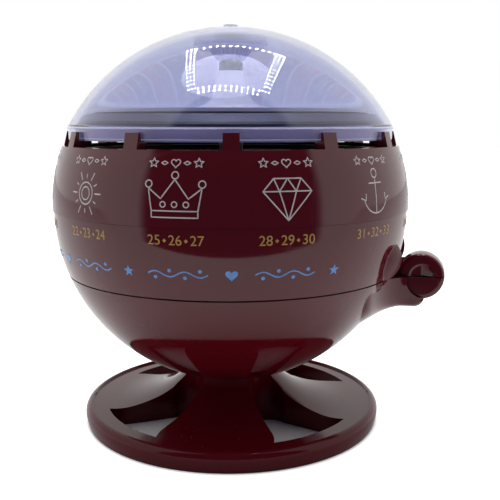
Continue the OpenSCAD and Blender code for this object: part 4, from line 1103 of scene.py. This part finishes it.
# White to the camera and through the dome; reflections, and steep rays through the dome, find it dark
def makeTent():
    world = bpy.data.worlds.new("tent")
    world.use_nodes = True
    scene.world = world
    tree = world.node_tree
    background = nodeOfType(tree, "BACKGROUND")
    ray = tree.nodes.new("ShaderNodeSeparateXYZ")
    tree.links.new(tree.nodes.new("ShaderNodeTexCoord").outputs["Generated"], ray.inputs[0])

    def along(x, y):
        return mathNode(tree, "ADD", mathNode(tree, "MULTIPLY", ray.outputs["X"], x),
                        mathNode(tree, "MULTIPLY", ray.outputs["Y"], y))

    sideways = mathNode(tree, "ARCTAN2", along(-toCamera.y, toCamera.x), along(toCamera.x, toCamera.y))
    upward = mathNode(tree, "ARCSINE", ray.outputs["Z"])
    half, low, high, soft = (math.radians(tent[k]) for k in ("halfWidth", "low", "high", "soft"))
    dark = mathNode(tree, "MULTIPLY", softBand(tree, sideways, -half, half, soft),
                    softBand(tree, upward, low, high, soft))
    level = rangeNode(tree, dark, 0.0, 1.0, tent["white"], tent["dark"])
    path = tree.nodes.new("ShaderNodeLightPath")
    steep = mathNode(tree, "GREATER_THAN", upward, math.radians(tent["through"]))
    clear = mathNode(tree, "SUBTRACT", 1.0, mathNode(tree, "MULTIPLY", dark, steep))
    seen = mathNode(tree, "MAXIMUM", path.outputs["Is Camera Ray"],
                    mathNode(tree, "MULTIPLY", path.outputs["Is Transmission Ray"], clear))
    strength = tree.nodes.new("ShaderNodeMix")
    strength.inputs["B"].default_value = 1.0
    tree.links.new(seen, strength.inputs["Factor"])
    tree.links.new(level, strength.inputs["A"])
    tree.links.new(strength.outputs["Result"], background.inputs["Strength"])
    unseen = mathNode(tree, "MULTIPLY", dark, mathNode(tree, "SUBTRACT", 1.0, seen))
    tree.links.new(mixColours(tree, unseen, (1, 1, 1, 1), tent["darkColour"]), background.inputs["Color"])


floorSheet = {"size": 3.0, "edge": 0.195, "drop": 0.00005, "footing": (0.0503, 0.0523), "glow": 0.75,
              "colour": (0.9, 0.9, 0.9, 1), "roughness": 0.7}


# A pale sheet that ends in front of the body; outside the stand the camera sees it as pure white
def makeFloor():
    mat, tree, shader = newMaterial("paleFloor", Base_Color=floorSheet["colour"],
                                    Roughness=floorSheet["roughness"])
    glow = tree.nodes.new("ShaderNodeEmission")
    reach = tree.nodes.new("ShaderNodeVectorMath")
    reach.operation = "LENGTH"
    tree.links.new(objectCoords(tree), reach.inputs[0])
    outside = rangeNode(tree, reach.outputs["Value"], *floorSheet["footing"], 0.0, floorSheet["glow"],
                        "SMOOTHSTEP")
    seen = tree.nodes.new("ShaderNodeLightPath").outputs["Is Camera Ray"]
    tree.links.new(mathNode(tree, "MULTIPLY", outside, seen), glow.inputs["Strength"])
    both = tree.nodes.new("ShaderNodeAddShader")
    tree.links.new(shader.outputs["BSDF"], both.inputs[0])
    tree.links.new(glow.outputs["Emission"], both.inputs[1])
    tree.links.new(both.outputs["Shader"], nodeOfType(tree, "OUTPUT_MATERIAL").inputs["Surface"])
    bm = bmesh.new()
    bmesh.ops.create_grid(bm, x_segments=1, y_segments=1, size=floorSheet["size"])
    bmesh.ops.bisect_plane(bm, geom=bm.verts[:] + bm.edges[:] + bm.faces[:], clear_outer=True,
                           plane_co=toCamera * floorSheet["edge"], plane_no=toCamera)
    bmesh.ops.translate(bm, verts=bm.verts, vec=(0, 0, -floorSheet["drop"]))
    mesh = meshFromBmesh("floor", bm)
    mesh.materials.append(mat)
    floor = linked("floor", mesh)


topLamp = {"place": (0.05, 0.05, 0.95), "energy": 5.4, "size": 0.6}
hubLamp = {"distance": 0.4, "height": 0.42, "target": (0, 0, 0.113), "energy": 6.0, "size": 0.02,
           "cone": 5.5, "blend": 0.7}
smallLights = {
    "level": 0.484, "turn": -5.0, "near": -0.085, "far": 0.195, "half": 0.12, "dot": 0.0026, "glow": 62.0,
    "nearRows": 2, "nearGap": 0.02, "nearReach": 0.84, "nearCount": 12,
    "farReach": 0.88, "farCount": 13, "stretch": 2.2,
    "sideRows": 3, "sideGap": 0.0115, "sideIn": 0.008, "sideBack": 0.006, "sideCount": 13,
}


def addLamp(name, kind, energy, place):
    data = bpy.data.lights.new(name, kind)
    data.energy = energy
    lamp = linked(name, data)
    lamp.location = place
    lamp.visible_glossy = False
    lamp.visible_camera = False
    return lamp


# One soft lamp above, and one on the white bell
def makeLamps():
    lamp = addLamp("softTop", "AREA", topLamp["energy"], topLamp["place"])
    lamp.data.shape = "DISK"
    lamp.data.size = topLamp["size"]
    start = cameraSide(hubLamp["distance"], hubLamp["height"])
    lamp = addLamp("hubLamp", "SPOT", hubLamp["energy"], start)
    lamp.rotation_euler = (Vector(hubLamp["target"]) - start).to_track_quat("-Z", "Y").to_euler()
    lamp.data.spot_size = math.radians(hubLamp["cone"])
    lamp.data.spot_blend = hubLamp["blend"]
    lamp.data.shadow_soft_size = hubLamp["size"]


def evenly(start, end, count):
    return [start + (end - start) * i / (count - 1) for i in range(count)]


# A frame of small lights above, which only shows as reflections
def makeSmallLights():
    shape = smallLights
    mat = newMaterial("smallLights", Base_Color=(0, 0, 0, 1), Emission_Color=(1, 1, 1, 1),
                      Emission_Strength=shape["glow"])[0]
    near, far, half, stretch = shape["near"], shape["far"], shape["half"], shape["stretch"]
    spots = []
    wide = half * shape["nearReach"]
    for row in range(shape["nearRows"]):
        x = near - shape["nearGap"] * row
        spots += [(x, y, stretch) for y in evenly(-wide, wide, shape["nearCount"])]
    wide = half * shape["farReach"]
    spots += [(far, y, stretch) for y in evenly(-wide, wide, shape["farCount"])]
    for row in range(shape["sideRows"]):
        for side in (-1, 1):
            y = side * (half + shape["sideGap"] * row - shape["sideIn"])
            spots += [(x + shape["sideBack"], y, 1) for x in evenly(near, far, shape["sideCount"])]
    turn = Matrix.Rotation(math.radians(camera["azimuth"] - 180 + shape["turn"]), 4, "Z")
    bm = bmesh.new()
    for along, across, longer in spots:
        place = Matrix.Translation((along, across, shape["level"])) @ Matrix.Diagonal((longer, 1, 1, 1))
        bmesh.ops.create_grid(bm, x_segments=1, y_segments=1, size=shape["dot"], matrix=turn @ place)
    mesh = meshFromBmesh("smallLights", bm)
    mesh.materials.append(mat)
    dots = linked("smallLights", mesh)
    for flag in ("visible_camera", "visible_diffuse", "visible_transmission", "visible_shadow",
                 "visible_volume_scatter"):
        setattr(dots, flag, False)


print("camera, tent and lamps")
makeCamera()
makeTent()
makeFloor()
makeLamps()
makeSmallLights()
scene.view_settings.view_transform = "Standard"

print("done")
